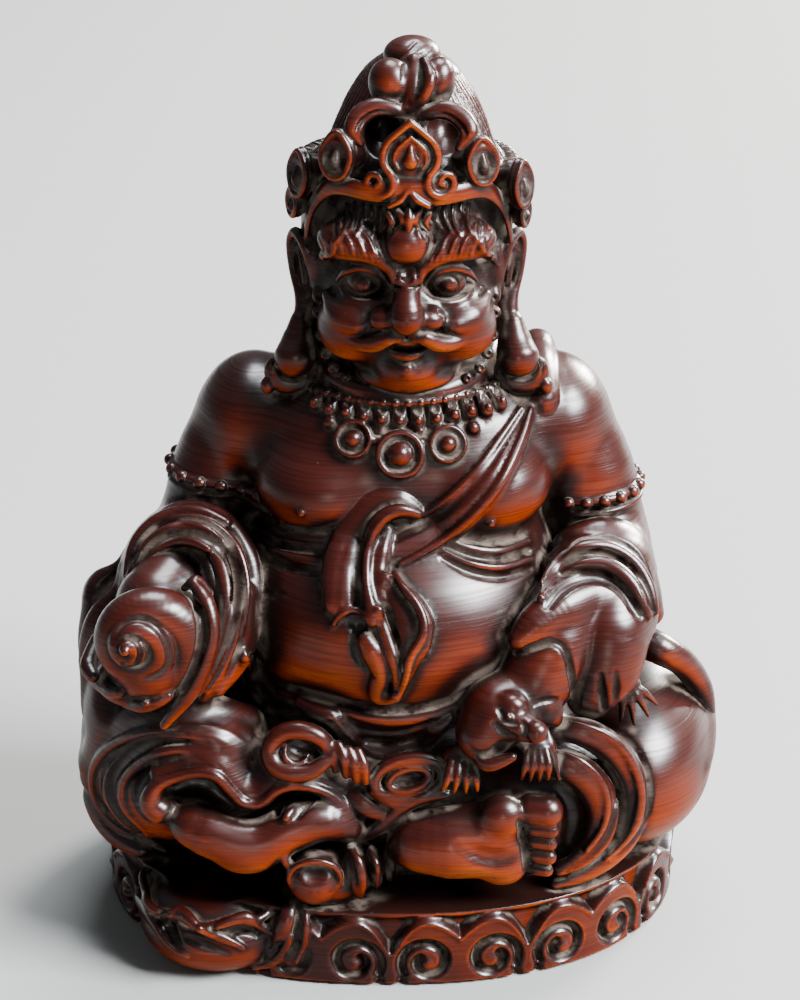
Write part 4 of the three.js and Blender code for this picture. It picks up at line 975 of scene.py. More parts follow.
for drop, spread in ((23.6, 15), (18.0, 18), (12.2, 19)):
    behind([(-spread, drop + 2.0), (-0.5 * spread, drop + 0.2), (0, drop - 0.8),
        (0.5 * spread, drop + 0.2), (spread, drop + 2.0)], (0.1, 1.2, 1.7, 1.2, 0.1), -0.8, 1.8)
    behind([(-0.8 * spread, drop + 0.0), (-0.4 * spread, drop - 1.6), (0, drop - 2.4),
        (0.4 * spread, drop - 1.6), (0.8 * spread, drop + 0.0)], (0.2, 0.8, 1.0, 0.8, 0.2), 0.3,
        1.2, True)
behind([(0, 40), (0.2, 36), (0, 32)], (0.6, 1.6, 0.8), 1.3, 1.6, True)

# folds on the outer side of each thigh, and of the sleeve's drape on the left
for way, side in (((-1.0, 0.0, 0.0), 1), ((1.0, 0.0, 0.0), -1)):
    behind([(12, 15), (6, 20), (-2, 22), (-10, 19)], (0.2, 1.0, 1.0, 0.2), -0.5, 1.6, False, way)
    behind([(13, 11.5), (6, 16.6), (-2, 18.4), (-11, 15)], (0.2, 0.8, 0.8, 0.2), 0.4, 1.2, True,
        way)
for y in (-8.0, -4.6, -1.4):
    behind([(y + 1.6, 42), (y + 0.4, 37), (y, 31), (y - 0.6, 25)], (0.3, 1.0, 1.1, 0.3), -0.2, 0.8,
        False, (1.0, 0.0, 0.0))
    behind([(y + 3.2, 41), (y + 2.1, 36), (y + 1.7, 30.6), (y + 1.2, 25)], (0.2, 0.6, 0.7, 0.2),
        0.2, 0.6, True, (1.0, 0.0, 0.0))
for lift in (0.0, 3.0):
    behind([(8, 41 - lift), (4, 38.6 - lift), (-1, 37.6 - lift)], (0.2, 0.9, 0.3), -0.2, 0.8,
        False, (-1.0, 0.0, 0.0))

# the sash over the right shoulder
over = np.array([(14.9, y, 80.0) for y in np.linspace(-3.0, 9.5, 24)])
over = calm(meet(over, np.broadcast_to((0.0, 0.0, -1.0), over.shape), 10, 32), 5)
tube(over - (0, 0, 0.7), np.full(24, 2.0), 0.4)

# The conch in the left hand, its tip towards the viewer, and the fingers under it.
wood = newBlock("conch")
tipX, tipY, tipZ = -28.8, -25.8, 41.8
whorl, widths = [], []
for k in range(121):
    share = k / 120
    turn = -0.6 + 2.75 * 2 * math.pi * share
    reach = 0.1 + 3.9 * share**1.3
    x = tipX + 2.2 * share**1.4 - reach * math.cos(turn)
    z = tipZ - 1.6 * share - 0.1 * reach + reach * math.sin(turn)
    whorl.append((x, tipY + 6.6 * share**1.1, z))
    widths.append(0.5 + 2.7 * share**1.15)
tube(np.array(whorl), np.array(widths), blend=0.12)
conchAndWrist = {
    "conchBody": (egg, (-27, -17.5, 37.8), (4.9, 6.4, 4.9), 0.3, (10, 0, 0)),
    "wrist": (limb, [(-26.2, -13.6, 40.8), (-24.6, -10.6, 42), (-23.7, -7.8, 42.8)],
        (4.8, 4.5, 3.8), 1.4),
    "innerWhorl": (groove, [(118, 641), (128, 637), (139, 642), (143, 653), (138, 664), (128, 668),
        (121, 663)], (0.2, 0.3, 0.35, 0.38, 0.35, 0.3, 0.2), 0.15),
    "outerWhorl": (groove, [(112, 642), (118, 627), (132, 618), (150, 621), (164, 634), (171, 650),
        (170, 664), (160, 675), (144, 679)], (0.2, 0.35, 0.42, 0.45, 0.48, 0.48, 0.45, 0.38, 0.25),
        0.2),
    "edgeFold": (limb, [(-22.1, -17.5, 45.4), (-20.8, -19.5, 44.3), (-20.2, -21, 41.5),
        (-21.1, -21.6, 38), (-22.8, -21.8, 34.5), (-25.5, -21.4, 30.5)],
        (0.6, 0.95, 1, 1, 0.95, 0.5), 0.3),
    "edgeCurl": (limb, [(-23.2, -17, 44.7), (-21.9, -17, 45.6), (-20.7, -17, 44)], (0.4, 0.6, 0.6),
        0.3),
    "edgeGroove": (groove, [(190, 590), (200, 610), (203, 634), (196, 664), (182, 690)],
        (0.4, 0.6, 0.6, 0.5, 0.4), 0.2),
    "curlHollow": (dent, (-22.8, -19.2, 45.8), (0.7, 1.2, 0.5), 0.2, (0, 30, 0)),
}
build(conchAndWrist)

# the hand: thumb on the left, fingertips below
leftHand = {
    "palm": (egg, (-28.2, -16.4, 33.6), (5, 5, 2.6), 0.8),
    "thumb": (limb, [(-32.8, -16, 37.9), (-33.3, -17.4, 37), (-33.6, -18.8, 36.2),
        (-33, -20, 35.7)], (0.8, 0.9, 0.95, 0.75), 0.6),
    "firstFinger": (limb, [(-32.5, -18, 33.9), (-31, -20.6, 34.3), (-30, -21.8, 34.8)],
        (0.9, 0.9, 0.7), 0.3),
    "firstTip": (limb, [(-29.8, -20, 34), (-28.5, -21.8, 35), (-27.6, -22.4, 35.6)],
        (0.6, 0.6, 0.5), 0.2),
    "secondFinger": (limb, [(-29.5, -19, 32.2), (-27.7, -21.6, 33.2), (-26, -22.4, 34.1),
        (-24.9, -22.4, 34.6)], (0.9, 0.95, 0.85, 0.6), 0.2),
    "secondTip": (limb, [(-27.4, -20, 33.5), (-25.9, -22.2, 35), (-24.7, -22, 35.3)],
        (0.6, 0.65, 0.6), 0.2),
    "lastTip": (bead, 146, 703, (0.45, 0.4, 0.3), 0.05, 0.1),
}
build(leftHand)

# The mongoose over the right forearm, its head down, and the hand that holds it.
wood = newBlock("mongoose")
forearmAndNeck = {
    "forearm": (limb, [(21, 1, 43), (22, -6, 41.4), (21.4, -10, 39.8)], (5.2, 5.3, 4.8), 1),
    "elbow": (egg, (21.8, -5.6, 41), (5.8, 5.8, 5.4), 1.5),
    "wrist": (egg, (21.8, -10.2, 38.4), (6.1, 5.6, 5.8), 1.5),
    "hanging": (limb, [(21.5, -10, 40.2), (22.1, -13, 37.6), (21.7, -14.6, 34.3),
        (20.3, -15.8, 31.2)], (4.3, 4.7, 4.2, 2.7), 1),
    "neck": (limb, [(17, -13.5, 39.1), (15.6, -15.5, 36.5), (13.5, -17.5, 32.9),
        (11.1, -19, 31.5)], (4.6, 4.7, 4.2, 3.6), 0.8),
}
build(forearmAndNeck)

# the hand and wrist pressed on the neck, with the thumb's edge
rightHand = {
    "hand": (limb, [(20.2, -12.5, 41.7), (16.8, -15.2, 41.4), (14.2, -17.2, 40.3),
        (12.5, -18.4, 39.3)], (2.8, 2.7, 2.2, 1.3), 0.7),
    "thumbEdge": (groove, [(514, 652), (534, 648), (554, 641), (566, 650), (572, 676), (576, 708)],
        (0.25, 0.4, 0.45, 0.45, 0.45, 0.4), 0.1),
    "firstGap": (groove, [(600, 676), (602, 694), (604, 710)], (0.35, 0.5, 0.35), 0.1),
    "secondGap": (groove, [(616, 672), (617, 690), (616, 700)], (0.25, 0.4, 0.3), 0.1),
}
build(rightHand)

# the hind paw on the knee
egg((24.1, -13.4, 31.2), (1.9, 1.6, 1.1), blend=0.5)
pawTop = (24.3, -14.0, 31.7)
clawTips = ((23.8, -14.8, 27.3), (25.3, -14.6, 26.8), (26.9, -14.0, 27.5), (27.9, -12.8, 28.3))
for tip, bend in zip(clawTips, (-0.1, 0.0, 0.1, 0.2)):
    x, y, z = ((a + b) / 2 for a, b in zip(pawTop, tip))
    limb([pawTop, (x + bend, y - 0.5, z + 0.4), tip], (0.55, 0.48, 0.2), blend=0.1)

# the tail
limb([(26.4, -6.0, 32.7), (28.8, -7.0, 32.0), (31.4, -6.0, 29.7), (33.5, -4.6, 25.9),
    (34.5, -3.0, 21.4), (34.9, -2.0, 17.4)], (1.9, 1.8, 1.6, 1.4, 1.1, 0.7), blend=0.4)

# the head: skull, cheek, muzzle, open mouth and lower jaw
mongooseHead = {
    "skull": (egg, (10.1, -20.2, 31.4), (4, 4.2, 3.9), 1.2, (0, 24, 0)),
    "cheek": (egg, (8.5, -22, 29.8), (2.9, 2.9, 2.9), 1.2, (0, 30, 0)),
    "muzzle": (limb, [(10.1, -22.4, 32.2), (12, -23.6, 31.9), (13.7, -24.6, 31.6)],
        (2.1, 1.75, 1.35), 0.9),
    "nose": (egg, (14.1, -25.3, 31.9), (1.25, 1.2, 1.2), 0.25),
    "brow": (egg, (11.7, -22.9, 33.9), (1.5, 1.3, 1.15), 0.7, (0, 20, 0)),
    "eye": (egg, (11.1, -24.5, 33.2), (0.55, 0.6, 0.45), 0.12),
    "eyeGroove": (groove, [(500, 710), (506, 724), (516, 724)], (0.3, 0.35, 0.25), 0),
    "cheekGroove": (groove, [(495, 724), (503, 734), (514, 737)], (0.35, 0.5, 0.35), 0.1),
    "noseGroove": (groove, [(522, 722), (526, 731), (524, 740)], (0.2, 0.3, 0.2), 0),
    "mouth": (slit, [(10.3, -24.4, 29.4), (11.5, -25.4, 29.8), (12.8, -26, 30.6)], (0.8, 1, 0.9),
        0.2),
    "jaw": (limb, [(8, -23.2, 28.2), (9, -24.6, 27.8), (10.3, -25, 28.2), (11.6, -25.2, 28.8)],
        (1, 1, 0.8, 0.5), 0.35),
    "jawGroove": (groove, [(470, 748), (482, 757), (492, 752), (500, 746)], (0.2, 0.35, 0.35, 0.3),
        0.1),
}
build(mongooseHead)

# the ear: a flat leaf, rolled along its top
mongooseEar = {
    "leaf": (limb, [(14.5, -19.4, 32.2), (15.5, -20, 31.6), (16.2, -19.8, 30.4)], (1.5, 1.7, 1),
        0.35, 0.55),
    "roll": (limb, [(13.6, -19.8, 32.7), (14.2, -20.2, 33.5), (15.7, -20.3, 33.7),
        (17.6, -19.6, 33.8)], (0.4, 0.5, 0.55, 0.3), 0.15),
    "groove": (groove, [(534, 705), (542, 701), (556, 700)], (0.25, 0.4, 0.3), 0.1),
}
build(mongooseEar)

# the cloth's edge beside the paws, and the two front paws
limb([(15.3, -20.6, 29.7), (16.0, -21.6, 27.6), (16.8, -21.8, 24.1)], (0.35, 0.45, 0.3), blend=0.25)
paws = (((6.3, -23.0, 25.2), 1.0, 1.25), ((14.3, -22.0, 26.1), 0.85, 1.1))
for (x, y, z), across, spread in paws:
    egg((x, y + 1.2, z + 1.8), (2.1, 1.6, 1.3), blend=0.5)
    for k in range(4):
        off = (k - 1.5) * across
        tip = (x + spread * off - 0.15, y - 0.8, z - 1.7 + 0.2 * abs(off))
        toe = [(x + 0.75 * off, y - 0.1, z + 1.7), (x + off, y - 1.1, z + 0.3), tip]
        limb(toe, (0.5, 0.47, 0.2), blend=0.06)

# scarf looped over the forearm, in three rolls
rightScarf = {
    "outerRoll": (limb, [(15, -9, 38.7), (17.1, -9.4, 42.6), (19.7, -9, 44.1), (22.8, -8, 43.1),
        (25.6, -7, 40.2), (27.3, -6.4, 36.4)], (1.4, 2.4, 2.7, 2.7, 2.5, 1.6), 0.6),
    "innerRoll": (limb, [(16.4, -6, 42.4), (18.5, -6.4, 44.7), (21.6, -6, 45.5), (24.8, -5, 43.8),
        (26.9, -4.6, 40.7)], (1.2, 1.9, 2.1, 2, 1.2), 0.6),
    "lowGroove": (groove, [(548, 606), (562, 587), (582, 576), (606, 576), (624, 588), (634, 604),
        (640, 616)], (0.5, 0.8, 1, 1, 0.9, 0.8, 0.5), 0.2),
    "lowCrest": (ridge, [(541, 598), (552, 578), (573, 565), (600, 563), (623, 574), (639, 595),
        (648, 616)], (0.5, 0.85, 0.95, 0.95, 0.9, 0.8, 0.5), 0.2, 0.3),
    "highCrest": (ridge, [(543, 583), (557, 562), (581, 548), (609, 547), (634, 562), (649, 587),
        (655, 611)], (0.4, 0.7, 0.8, 0.8, 0.75, 0.7, 0.5), 0.15, 0.3),
    "crestGap": (groove, [(542, 591), (555, 570), (577, 556), (604, 554), (629, 568), (645, 592),
        (652, 613)], (0.3, 0.45, 0.5, 0.5, 0.45, 0.4, 0.3), 0.15),
    "highGroove": (groove, [(545, 574), (560, 553), (584, 539), (612, 538), (638, 553),
        (653, 580)], (0.25, 0.4, 0.45, 0.45, 0.4, 0.3), 0.15),
}
build(rightScarf)


# The head: hair, face, ears, earrings and the crown. The features stand at usual places for a face.

head = {
    "middle": 0.4,
    "rows": [
        [57, 0.2, 6.4, -6, 9], [63, 0.2, 6.4, -7, 9], [64.6, 0.3, 6.8, -8.4, 10],
        [68, 0.3, 8, -9.2, 11], [71, 0.3, 8.8, -9.6, 11.4], [75, 0.4, 9.2, -9.4, 11.8],
        [79, 0.4, 9.5, -9.2, 12], [83, 0.5, 10, -10, 12], [86, 0.6, 9.8, -9.4, 11.6],
        [88.4, 0.8, 8.8, -7.6, 10.8], [90.6, 0.9, 8, -5.6, 10], [93, 0.9, 6.9, -3.8, 9.2],
        [95.4, 0.9, 5.4, -2.2, 7.8], [97, 0.9, 3.8, -1.2, 6], [98.2, 0.9, 1.8, 0, 4],
    ],
    "whiskers": (
        (9.2, -4.6, 73.0, 0.8), (9.3, -4.9, 71.3, 0.75), (9.1, -5.6, 69.0, 0.7),
        (8.6, -6.2, 67.2, 0.7), (7.8, -6.9, 65.8, 0.65), (6.4, -7.6, 64.9, 0.6),
    ),
    "hoop": (12.3, -4.4, 65.5),
}
wood = newBlock("head")
levels(head["rows"])
faceMasses = {
    "skull": (egg, (0.4, -2.8, 72.4), (9, 9.4, 8.2), 1.5),
    "chin": (egg, (0.4, -8.6, 67.2), (3.4, 4, 2.9), 1.4),
    "jaw": (egg, (0.4, -6, 65.4), (5.6, 4.8, 2.4), 1),
}
build(faceMasses)


def faceLine(points, radii, lift=0.0, blend=0.2, cut=False):
    line, share = smoothPath([(x, -22.0, z) for x, z in points], 0.3)
    fine = meet(line, np.broadcast_to([0, 1.0, 0], line.shape), 0, 20)
    tube(calm(fine, 3) - np.array([0, lift, 0]), along(radii, share), blend, cut)


def around(first, last, count):
    return [(math.cos(a), math.sin(a)) for a in np.linspace(first, last, count)]


eyeRing = []
for c, s in around(0, 2 * math.pi, 17):
    eyeRing.append((4.2 + 1.1 * c, -10.5 + 0.1 * c + 0.1 * s, 76.45 + 1.05 * s))
eyeForms = {
    "cheek": (egg, (5.3, -6.4, 70.6), (4.2, 4.9, 3.7), 1.2),
    "cheekbone": (egg, (5.5, -7.9, 72.8), (3.2, 3.4, 2.3), 0.7, (0, 10, 0)),
    "socket": (dent, (4.4, -10.4, 76.8), (2.8, 2.5, 2), 0.7, (0, 8, 0)),
    "ball": (egg, (4.3, -8.75, 76.6), (1.95, 2.1, 1.8), 0.1),
    "ring": (slit, eyeRing, 0.16, 0.12),
    "pupil": (egg, (4.2, -10.6, 76.45), (0.5, 0.45, 0.5), 0.1),
    "upperLid": (
        limb,
        [(7.3, -7.8, 76), (6.3, -9.6, 77.7), (4.8, -10.5, 78.5), (3.2, -10.7, 78.1),
            (2, -10.4, 76.7)],
        (0.2, 0.42, 0.5, 0.45, 0.25), 0.4,
    ),
    "lowerLid": (
        limb, [(6.9, -8.2, 75.4), (5.9, -9.7, 74.7), (4.3, -10.5, 74.5), (2.9, -10.4, 74.9)],
        (0.2, 0.4, 0.45, 0.25), 0.4,
    ),
    "fold": (
        slit, [(7.9, -7.2, 74.7), (6.4, -9.7, 73.3), (4.5, -10.9, 72.9), (2.8, -11, 73.6)],
        (0.25, 0.45, 0.45, 0.25), 0.35,
    ),
    "pad": (
        limb, [(8.3, -7, 74.1), (6.9, -9.7, 72.7), (5.1, -11.1, 72.3), (3.4, -11.4, 72.9)],
        (0.6, 1.05, 1, 0.4), 0.7,
    ),
    "browBase": (egg, (5.6, -8.6, 81.2), (3.7, 3, 2.2), 0.9, (0, 4, 0)),
    "brow": (
        limb,
        [(1.1, -11.1, 77.4), (1.8, -11.4, 78.9), (3.3, -11.2, 80.2), (5.4, -10.4, 80.6),
            (7.4, -8.7, 80.1), (8.6, -6.8, 78.5)],
        (0.5, 0.8, 1.15, 1.3, 1.15, 0.6), 0.8,
    ),
    "knit": (limb, [(1, -11, 80), (1.5, -11.7, 78.6), (1.2, -12, 77)], (0.4, 0.5, 0.3), 0.25),
}
noseSide = {
    "wing": (egg, (2.3, -11.9, 73.5), (1.7, 1.7, 1.25), 0.4, (0, 12, 0)),
    "wingGroove": (slit, [(1.6, -12.8, 74.8), (3, -12.5, 74.7), (3.7, -11.8, 73.6)], 0.14, 0.25),
    "nostril": (dent, (1.1, -13.4, 72.6), (0.62, 0.7, 0.4), 0.15),
    "fold": (slit, [(3, -11.4, 73.9), (3.5, -11.5, 72.7), (4.4, -11, 71.7)], (0.2, 0.3, 0.2), 0.25),
    "moustache": (
        limb,
        [(0.6, -12.8, 71.9), (1.9, -12.9, 71.6), (3.4, -12.1, 70.7), (5.1, -11, 70.5),
            (6.5, -9.7, 71.2), (7, -9, 72.3), (6.4, -9.9, 73), (5.8, -10.6, 72.4)],
        (0.5, 0.85, 0.95, 0.9, 0.75, 0.6, 0.5, 0.4), 0.25,
    ),
    "upperStrand": (
        slit, [(1, -13.4, 71.9), (2.6, -13.1, 71.1), (4.3, -12.1, 70.6), (5.6, -11.2, 70.9)],
        (0.08, 0.16, 0.16, 0.08), 0.1,
    ),
    "lowerStrand": (slit, [(1.2, -13.2, 71.3), (2.6, -12.8, 70.6), (4.3, -11.7, 70.1)],
        (0.08, 0.14, 0.08), 0.1),
}
ear = {
    "hairAbove": (egg, (8.6, 1, 82), (2.7, 5.4, 5.4), 1.5, (0, 0, -10)),
    "hairBehind": (egg, (9, 0.2, 76.4), (2.4, 5.2, 5.2), 1.2),
    "shell": (egg, (10.5, -0.6, 75.3), (1.8, 2.6, 3.7), 0.5, (0, 8, -30)),
    "hollow": (dent, (11.2, -2.7, 75.5), (1, 1.5, 2.5), 0.25, (0, 8, -30)),
    "rim": (
        limb,
        [(9.9, -3, 73), (10, -3.5, 75.2), (10.7, -3.6, 78.2), (11.7, -1.8, 79.2),
            (12.3, -0.9, 77.8), (12.1, -1.2, 75), (11.5, -2.2, 72.6), (11.2, -2.8, 71.2)],
        (0.4, 0.45, 0.55, 0.6, 0.55, 0.5, 0.5, 0.5), 0.25,
    ),
    "innerRim": (limb, [(10.8, -2.6, 73.8), (10.9, -2.2, 75.6), (11.4, -1.6, 77.2)],
        (0.35, 0.5, 0.3), 0.2),
    "lobe": (limb, [(10.7, -1.8, 72.6), (10.9, -2.6, 70.6), (11.3, -3.4, 68.8)], (1, 1.1, 1.25),
        0.5),
    "drop": (limb, [(11.3, -3.4, 69.6), (11.5, -4, 67.8), (11.7, -4.6, 66.3)], (1.2, 1.75, 2.15),
        0.3),
}
earringFront = {
    "cup": (dent, (12.3, -6.1, 65.2), (1.9, 1.1, 1.7), 0.2),
    "dropEnd": (limb, [(11.6, -4, 67.6), (11.9, -4.8, 66.3)], (1.8, 2.25), 0.15),
    "bead": (egg, (14.9, -4.6, 62.8), (0.8, 0.8, 0.95), 0.2),
}


def browHair(side):
    def at(x, z):
        return head["middle"] + side * x, z

    for k in range(11):
        x = 2.0 + 0.62 * k
        low = 79.3 + 0.22 * min(x - 2, 3.4) - 0.3 * max(x - 5.8, 0)
        strand = [at(x, low), at(x + 0.25, low + 1.1), at(x + 0.9, low + 2.2)]
        faceLine(strand, (0.08, 0.15, 0.08), 0.04, 0.12, True)
    for k in range(5):
        x = 3.4 + 1.05 * k
        low = 80.6 - 0.3 * max(x - 5.8, 0)
        strand = [at(x, low), at(x + 0.4, low + 1.1), at(x + 1.2, low + 2.0)]
        faceLine(strand, (0.15, 0.2, 0.08), 0.02, 0.2)


def whiskerCurls(side):
    for x, y, z, r in head["whiskers"]:
        x = head["middle"] + side * x
        egg((x, y, z), (r, r, r), 0.2)
        x = x + side * 0.1
        dent((x, y - 0.75 * r, z + 0.1), (0.35 * r, 0.5 * r, 0.35 * r), 0.1)


def earringHoop(side):
    x, y, z = head["hoop"]
    x = head["middle"] + side * x
    hoop, crest = [], []
    for t in range(170, 371, 10):
        reach = 2.75 - 0.75 * (abs(t - 270) / 100) ** 3
        c, s = math.cos(math.radians(t)), math.sin(math.radians(t))
        hoop.append((x + side * reach * c, y - 0.35 * s, z + reach * s))
        crest.append((x + 0.82 * side * reach * c, y - 0.35 * s - 0.75, z + 0.82 * reach * s))
    limb(hoop, (0.2, 0.55, 0.9, 1.15, 1.2, 1.15, 0.9, 0.55, 0.2), 0.4)
    limb(crest, (0.08, 0.28, 0.28, 0.28, 0.08), 0.15)


for side in (-1, 1):
    build(eyeForms, side, head["middle"])
    browHair(side)
    build(noseSide, side, head["middle"])
    whiskerCurls(side)
    build(ear, side, head["middle"])
    earringHoop(side)
    build(earringFront, side, head["middle"])

# boss on the forehead, frown lines, nose, lips and chin tuft
egg((0.4, -10.6, 81.3), (2.6, 2.7, 2.4), blend=0.2)
for x in (-0.5, 1.3):
    frown = [(x, -11.2, 78.9), (x * 0.8 + 0.08, -12.0, 77.9), (x, -12.0, 77.0)]
    limb(frown, (0.25, 0.5, 0.3), blend=0.2)
noseAndMouth = {
    "bridge": (limb, [(0.4, -10.7, 78.6), (0.4, -11.6, 76.6), (0.4, -12.9, 74.9),
        (0.4, -13.2, 74)], (0.8, 1.2, 1.6, 1.8), 0.6),
    "lowFrown": (slit, [(-0.8, -12.1, 77.1), (0.4, -12.6, 76.8), (1.6, -12.1, 77.1)], 0.16, 0.2),
    "highFrown": (slit, [(-0.6, -12.1, 78), (0.4, -12.4, 77.8), (1.4, -12.1, 78)], 0.14, 0.2),
    "mouth": (dent, (0.4, -13.4, 70.3), (2, 2, 0.6), 0.25),
    "teeth": (egg, (0.4, -11.6, 70.6), (1.6, 1, 0.45), 0.1),
}
build(noseAndMouth)
for x in (-0.75, -0.15, 0.4, 0.95, 1.55):
    slit([(x, -12.65, 70.9), (x, -12.65, 70.2)], 0.07, blend=0.06)
lips = {
    "upper": (limb, [(-1.9, -11.9, 70.9), (-0.8, -12.6, 71.3), (0.4, -12.8, 71.1),
        (1.6, -12.6, 71.3), (2.7, -11.9, 70.9)], (0.25, 0.4, 0.4, 0.4, 0.25), 0.2),
    "lower": (limb, [(-1.5, -11.8, 69.9), (-0.6, -12.3, 69.5), (0.4, -12.5, 69.35),
        (1.4, -12.3, 69.5), (2.3, -11.8, 69.9)], (0.28, 0.42, 0.5, 0.42, 0.28), 0.2),
    "chinTuft": (egg, (0.4, -12, 67.6), (0.9, 0.95, 1.15), 0.2),
}
build(lips)
for x in (0.0, 0.4, 0.8):
    strand = [(x, -12.9, 68.3), (0.4 + 1.3 * (x - 0.4), -13.0, 67.3), (0.4, -12.6, 66.6)]
    slit(strand, 0.09, blend=0.08)

# small flames of hair under the crown's band
for k in range(-11, 12):
    if k == 0:
        continue
    way = 1 if k > 0 else -1
    turn = 0.094 * k
    x = 0.5 + 10.2 * math.sin(turn)
    drop = 84.2 - 3.4 * max(abs(turn) - 0.62, 0) ** 1.1 * 4 + 0.3 * math.sin(3.0 * abs(turn))
    long = 1.7 + 0.5 * (k % 2) + 0.3 * math.sin(1.9 * k)
    steps = ((0.0, 0.0), (-0.15, 0.35), (0.25, 0.75), (0.85, 1.05))
    flame = [(x + a * way, drop - b * long) for a, b in steps]
    faceLine(flame, (0.24, 0.3, 0.22, 0.08), 0.02, 0.2)
    gap = [(x + a * way, drop - b * long) for a, b in ((0.5, 0.0), (0.4, 0.5), (0.8, 0.8))]
    faceLine(gap, (0.12, 0.16, 0.1), 0.06, 0.15, True)

# crown: the band in two scallops, its cusp, the leaves and the middle leaf's two curls

crown = {
    "middle": 0.6,
    "band": [
        (0.2, -11.7, 87.3), (-0.7, -11.7, 87.0), (-2.3, -11.4, 86.8), (-4.2, -10.8, 87.0),
        (-5.9, -9.6, 87.0), (-7.4, -8.0, 86.4), (-8.8, -6.2, 84.7), (-9.7, -4.8, 82.4),
        (-10.2, -3.6, 79.4),
    ],
    "bandRadii": (0.45, 0.7, 0.9, 0.98, 1.0, 0.95, 0.85, 0.7, 0.5),
    "leaves": (  # place, facing, lean, half width, half height and the stalk's length
        ((-6.9, -9.4, 90.2), -26, 8, 2.0, 2.75, 3.6), ((8.2, -9.4, 89.6), 26, 8, 1.95, 2.7, 3.6),
        ((-11.0, -5.4, 87.0), -56, 4, 1.9, 2.75, 4.4), ((12.6, -5.4, 85.8), 56, 4, 1.9, 2.75, 4.4),
        ((-11.7, -3.4, 83.2), -64, 0, 1.3, 1.8, 3.6), ((12.9, -3.4, 82.1), 64, 0, 1.3, 1.8, 3.6),
    ),
    "halfLeaf": [
        (2.0, 88.9), (2.65, 89.8), (2.8, 90.9), (2.3, 92.1), (1.3, 93.1), (0.35, 93.9), (0.0, 94.2),
    ],
    "curl": [
        (2.0, 89.0), (1.75, 88.0), (2.05, 87.1), (2.9, 86.6), (3.9, 86.9), (4.4, 87.8), (4.1, 88.6),
        (3.3, 88.7), (3.0, 88.0), (3.4, 87.7),
    ],
    "curlRadii": (0.4, 0.42, 0.45, 0.45, 0.45, 0.45, 0.42, 0.38, 0.34, 0.36),
}
cusp = {
    "edge": (limb, [(0.1, -11.9, 87.3), (0.8, -12.1, 86.4), (2, -12.1, 85.7)], (0.2, 0.4, 0.3),
        0.2),
    "lobe": (limb, [(1.1, -11.5, 85), (0.6, -11.9, 84.2), (1, -11.7, 83)], (0.35, 0.42, 0.15),
        0.12),
    "outerLobe": (limb, [(2.1, -11.3, 84.6), (1.7, -11.6, 83.8), (2.2, -11.4, 82.8)],
        (0.35, 0.38, 0.15), 0.12),
}
for side in (-1, 1):
    middle = crown["middle"]
    drop = 0.35 if side > 0 else 0
    path = [(middle + side * abs(x - middle), y, z - drop) for x, y, z in crown["band"]]
    fine, share = smoothPath(path, 0.5)
    outwards = fine - np.array([middle, 0.8, 0])
    outwards[:, 2] = 0.15 * np.linalg.norm(outwards[:, :2], axis=1)
    tube(fine, along(crown["bandRadii"], share), 0.12, flat=0.45, facing=outwards)
    build(cusp, side, middle)
cuspTip = [(0.6, -11.6, 85.4), (0.6, -12.1, 84.3), (0.6, -12.1, 83.2), (0.6, -11.8, 82.6)]
limb(cuspTip, (0.3, 0.5, 0.4, 0.12), blend=0.12)


def crownLeaf(place, facing, lean, width, height, length):
    turn = (-lean, 0, facing)
    m = turnMatrix(turn)

    def at(x, y, z):
        return tuple(np.array(place) + m @ np.array([x, y, z]))

    edge = [(c * (1 - 0.4 * max(s, 0) ** 1.5), s) for c, s in around(0, 2 * math.pi, 25)]
    small = min(width, height)
    limb([at(0, 0.8, -0.15 * height), at(0, length, -0.3)], (0.9 * small, 0.8 * small), blend=0.3)
    limb([at(0, 0.9, 0.3 * height), at(0, length, 0.2)], (0.62 * small, 0.6 * small), blend=0.4)
    egg(at(0, 0.6, 0), (1.02 * width, 0.85, 1.02 * height), blend=0.2, turn=turn, point=0.12)
    dent(at(0, -0.5, -0.1), (0.72 * width, 0.62, 0.74 * height), blend=0.1, turn=turn, point=0.2)
    limb([at(0.86 * width * x, 0.05, 0.88 * height * z) for x, z in edge], 0.3, blend=0.15)
    limb([at(0.5 * width * x, 0.1, 0.55 * height * z - 0.1) for x, z in edge], 0.15, blend=0.08)
    egg(at(0, -0.05, -0.24 * height), (0.3 * width, 0.5, 0.28 * height), blend=0.1, turn=turn)
    flame = [at(0, -0.05, -0.2 * height), at(0, 0.05, 0.12 * height), at(0, 0.15, 0.42 * height)]
    limb(flame, (0.27 * width, 0.17 * width, 0.05), blend=0.1)


for leaf in crown["leaves"]:
    crownLeaf(*leaf)


def leafPlace(side, x, z):
    return 0.75 + side * x, -11.9 + 0.16 * (z - 88) + 0.06 * x * x, z


for side in (-1, 1):
    edge = [leafPlace(side, x, z) for x, z in crown["halfLeaf"]]
    limb(edge, (0.42, 0.45, 0.45, 0.42, 0.4, 0.4), blend=0.15)
    inner = [leafPlace(side, 0.6 * x, 90.8 + 0.62 * (z - 91)) for x, z in crown["halfLeaf"]]
    limb(inner, 0.22, blend=0.1)
    limb([leafPlace(side, x, z) for x, z in crown["curl"]], crown["curlRadii"], blend=0.1)
middleLeaf = {
    "back": (egg, (0.75, -10.2, 91), (2.7, 1.3, 2.9), 0.25, (-8, 0, 0), 0.3),
    "hollow": (dent, (0.75, -12, 90.8), (1.55, 0.75, 1.7), 0.12, (-8, 0, 0), 0.3),
    "drop": (egg, (0.75, -11.45, 90.2), (0.85, 0.65, 0.8), 0.1),
    "dropTip": (limb, [(0.75, -11.5, 90.4), (0.75, -11.4, 91.2), (0.75, -11.2, 92.1)],
        (0.66, 0.42, 0.1), 0.12),
    "foot": (egg, (0.75, -9.6, 87.6), (4.4, 2.4, 1.6), 0.4),
}
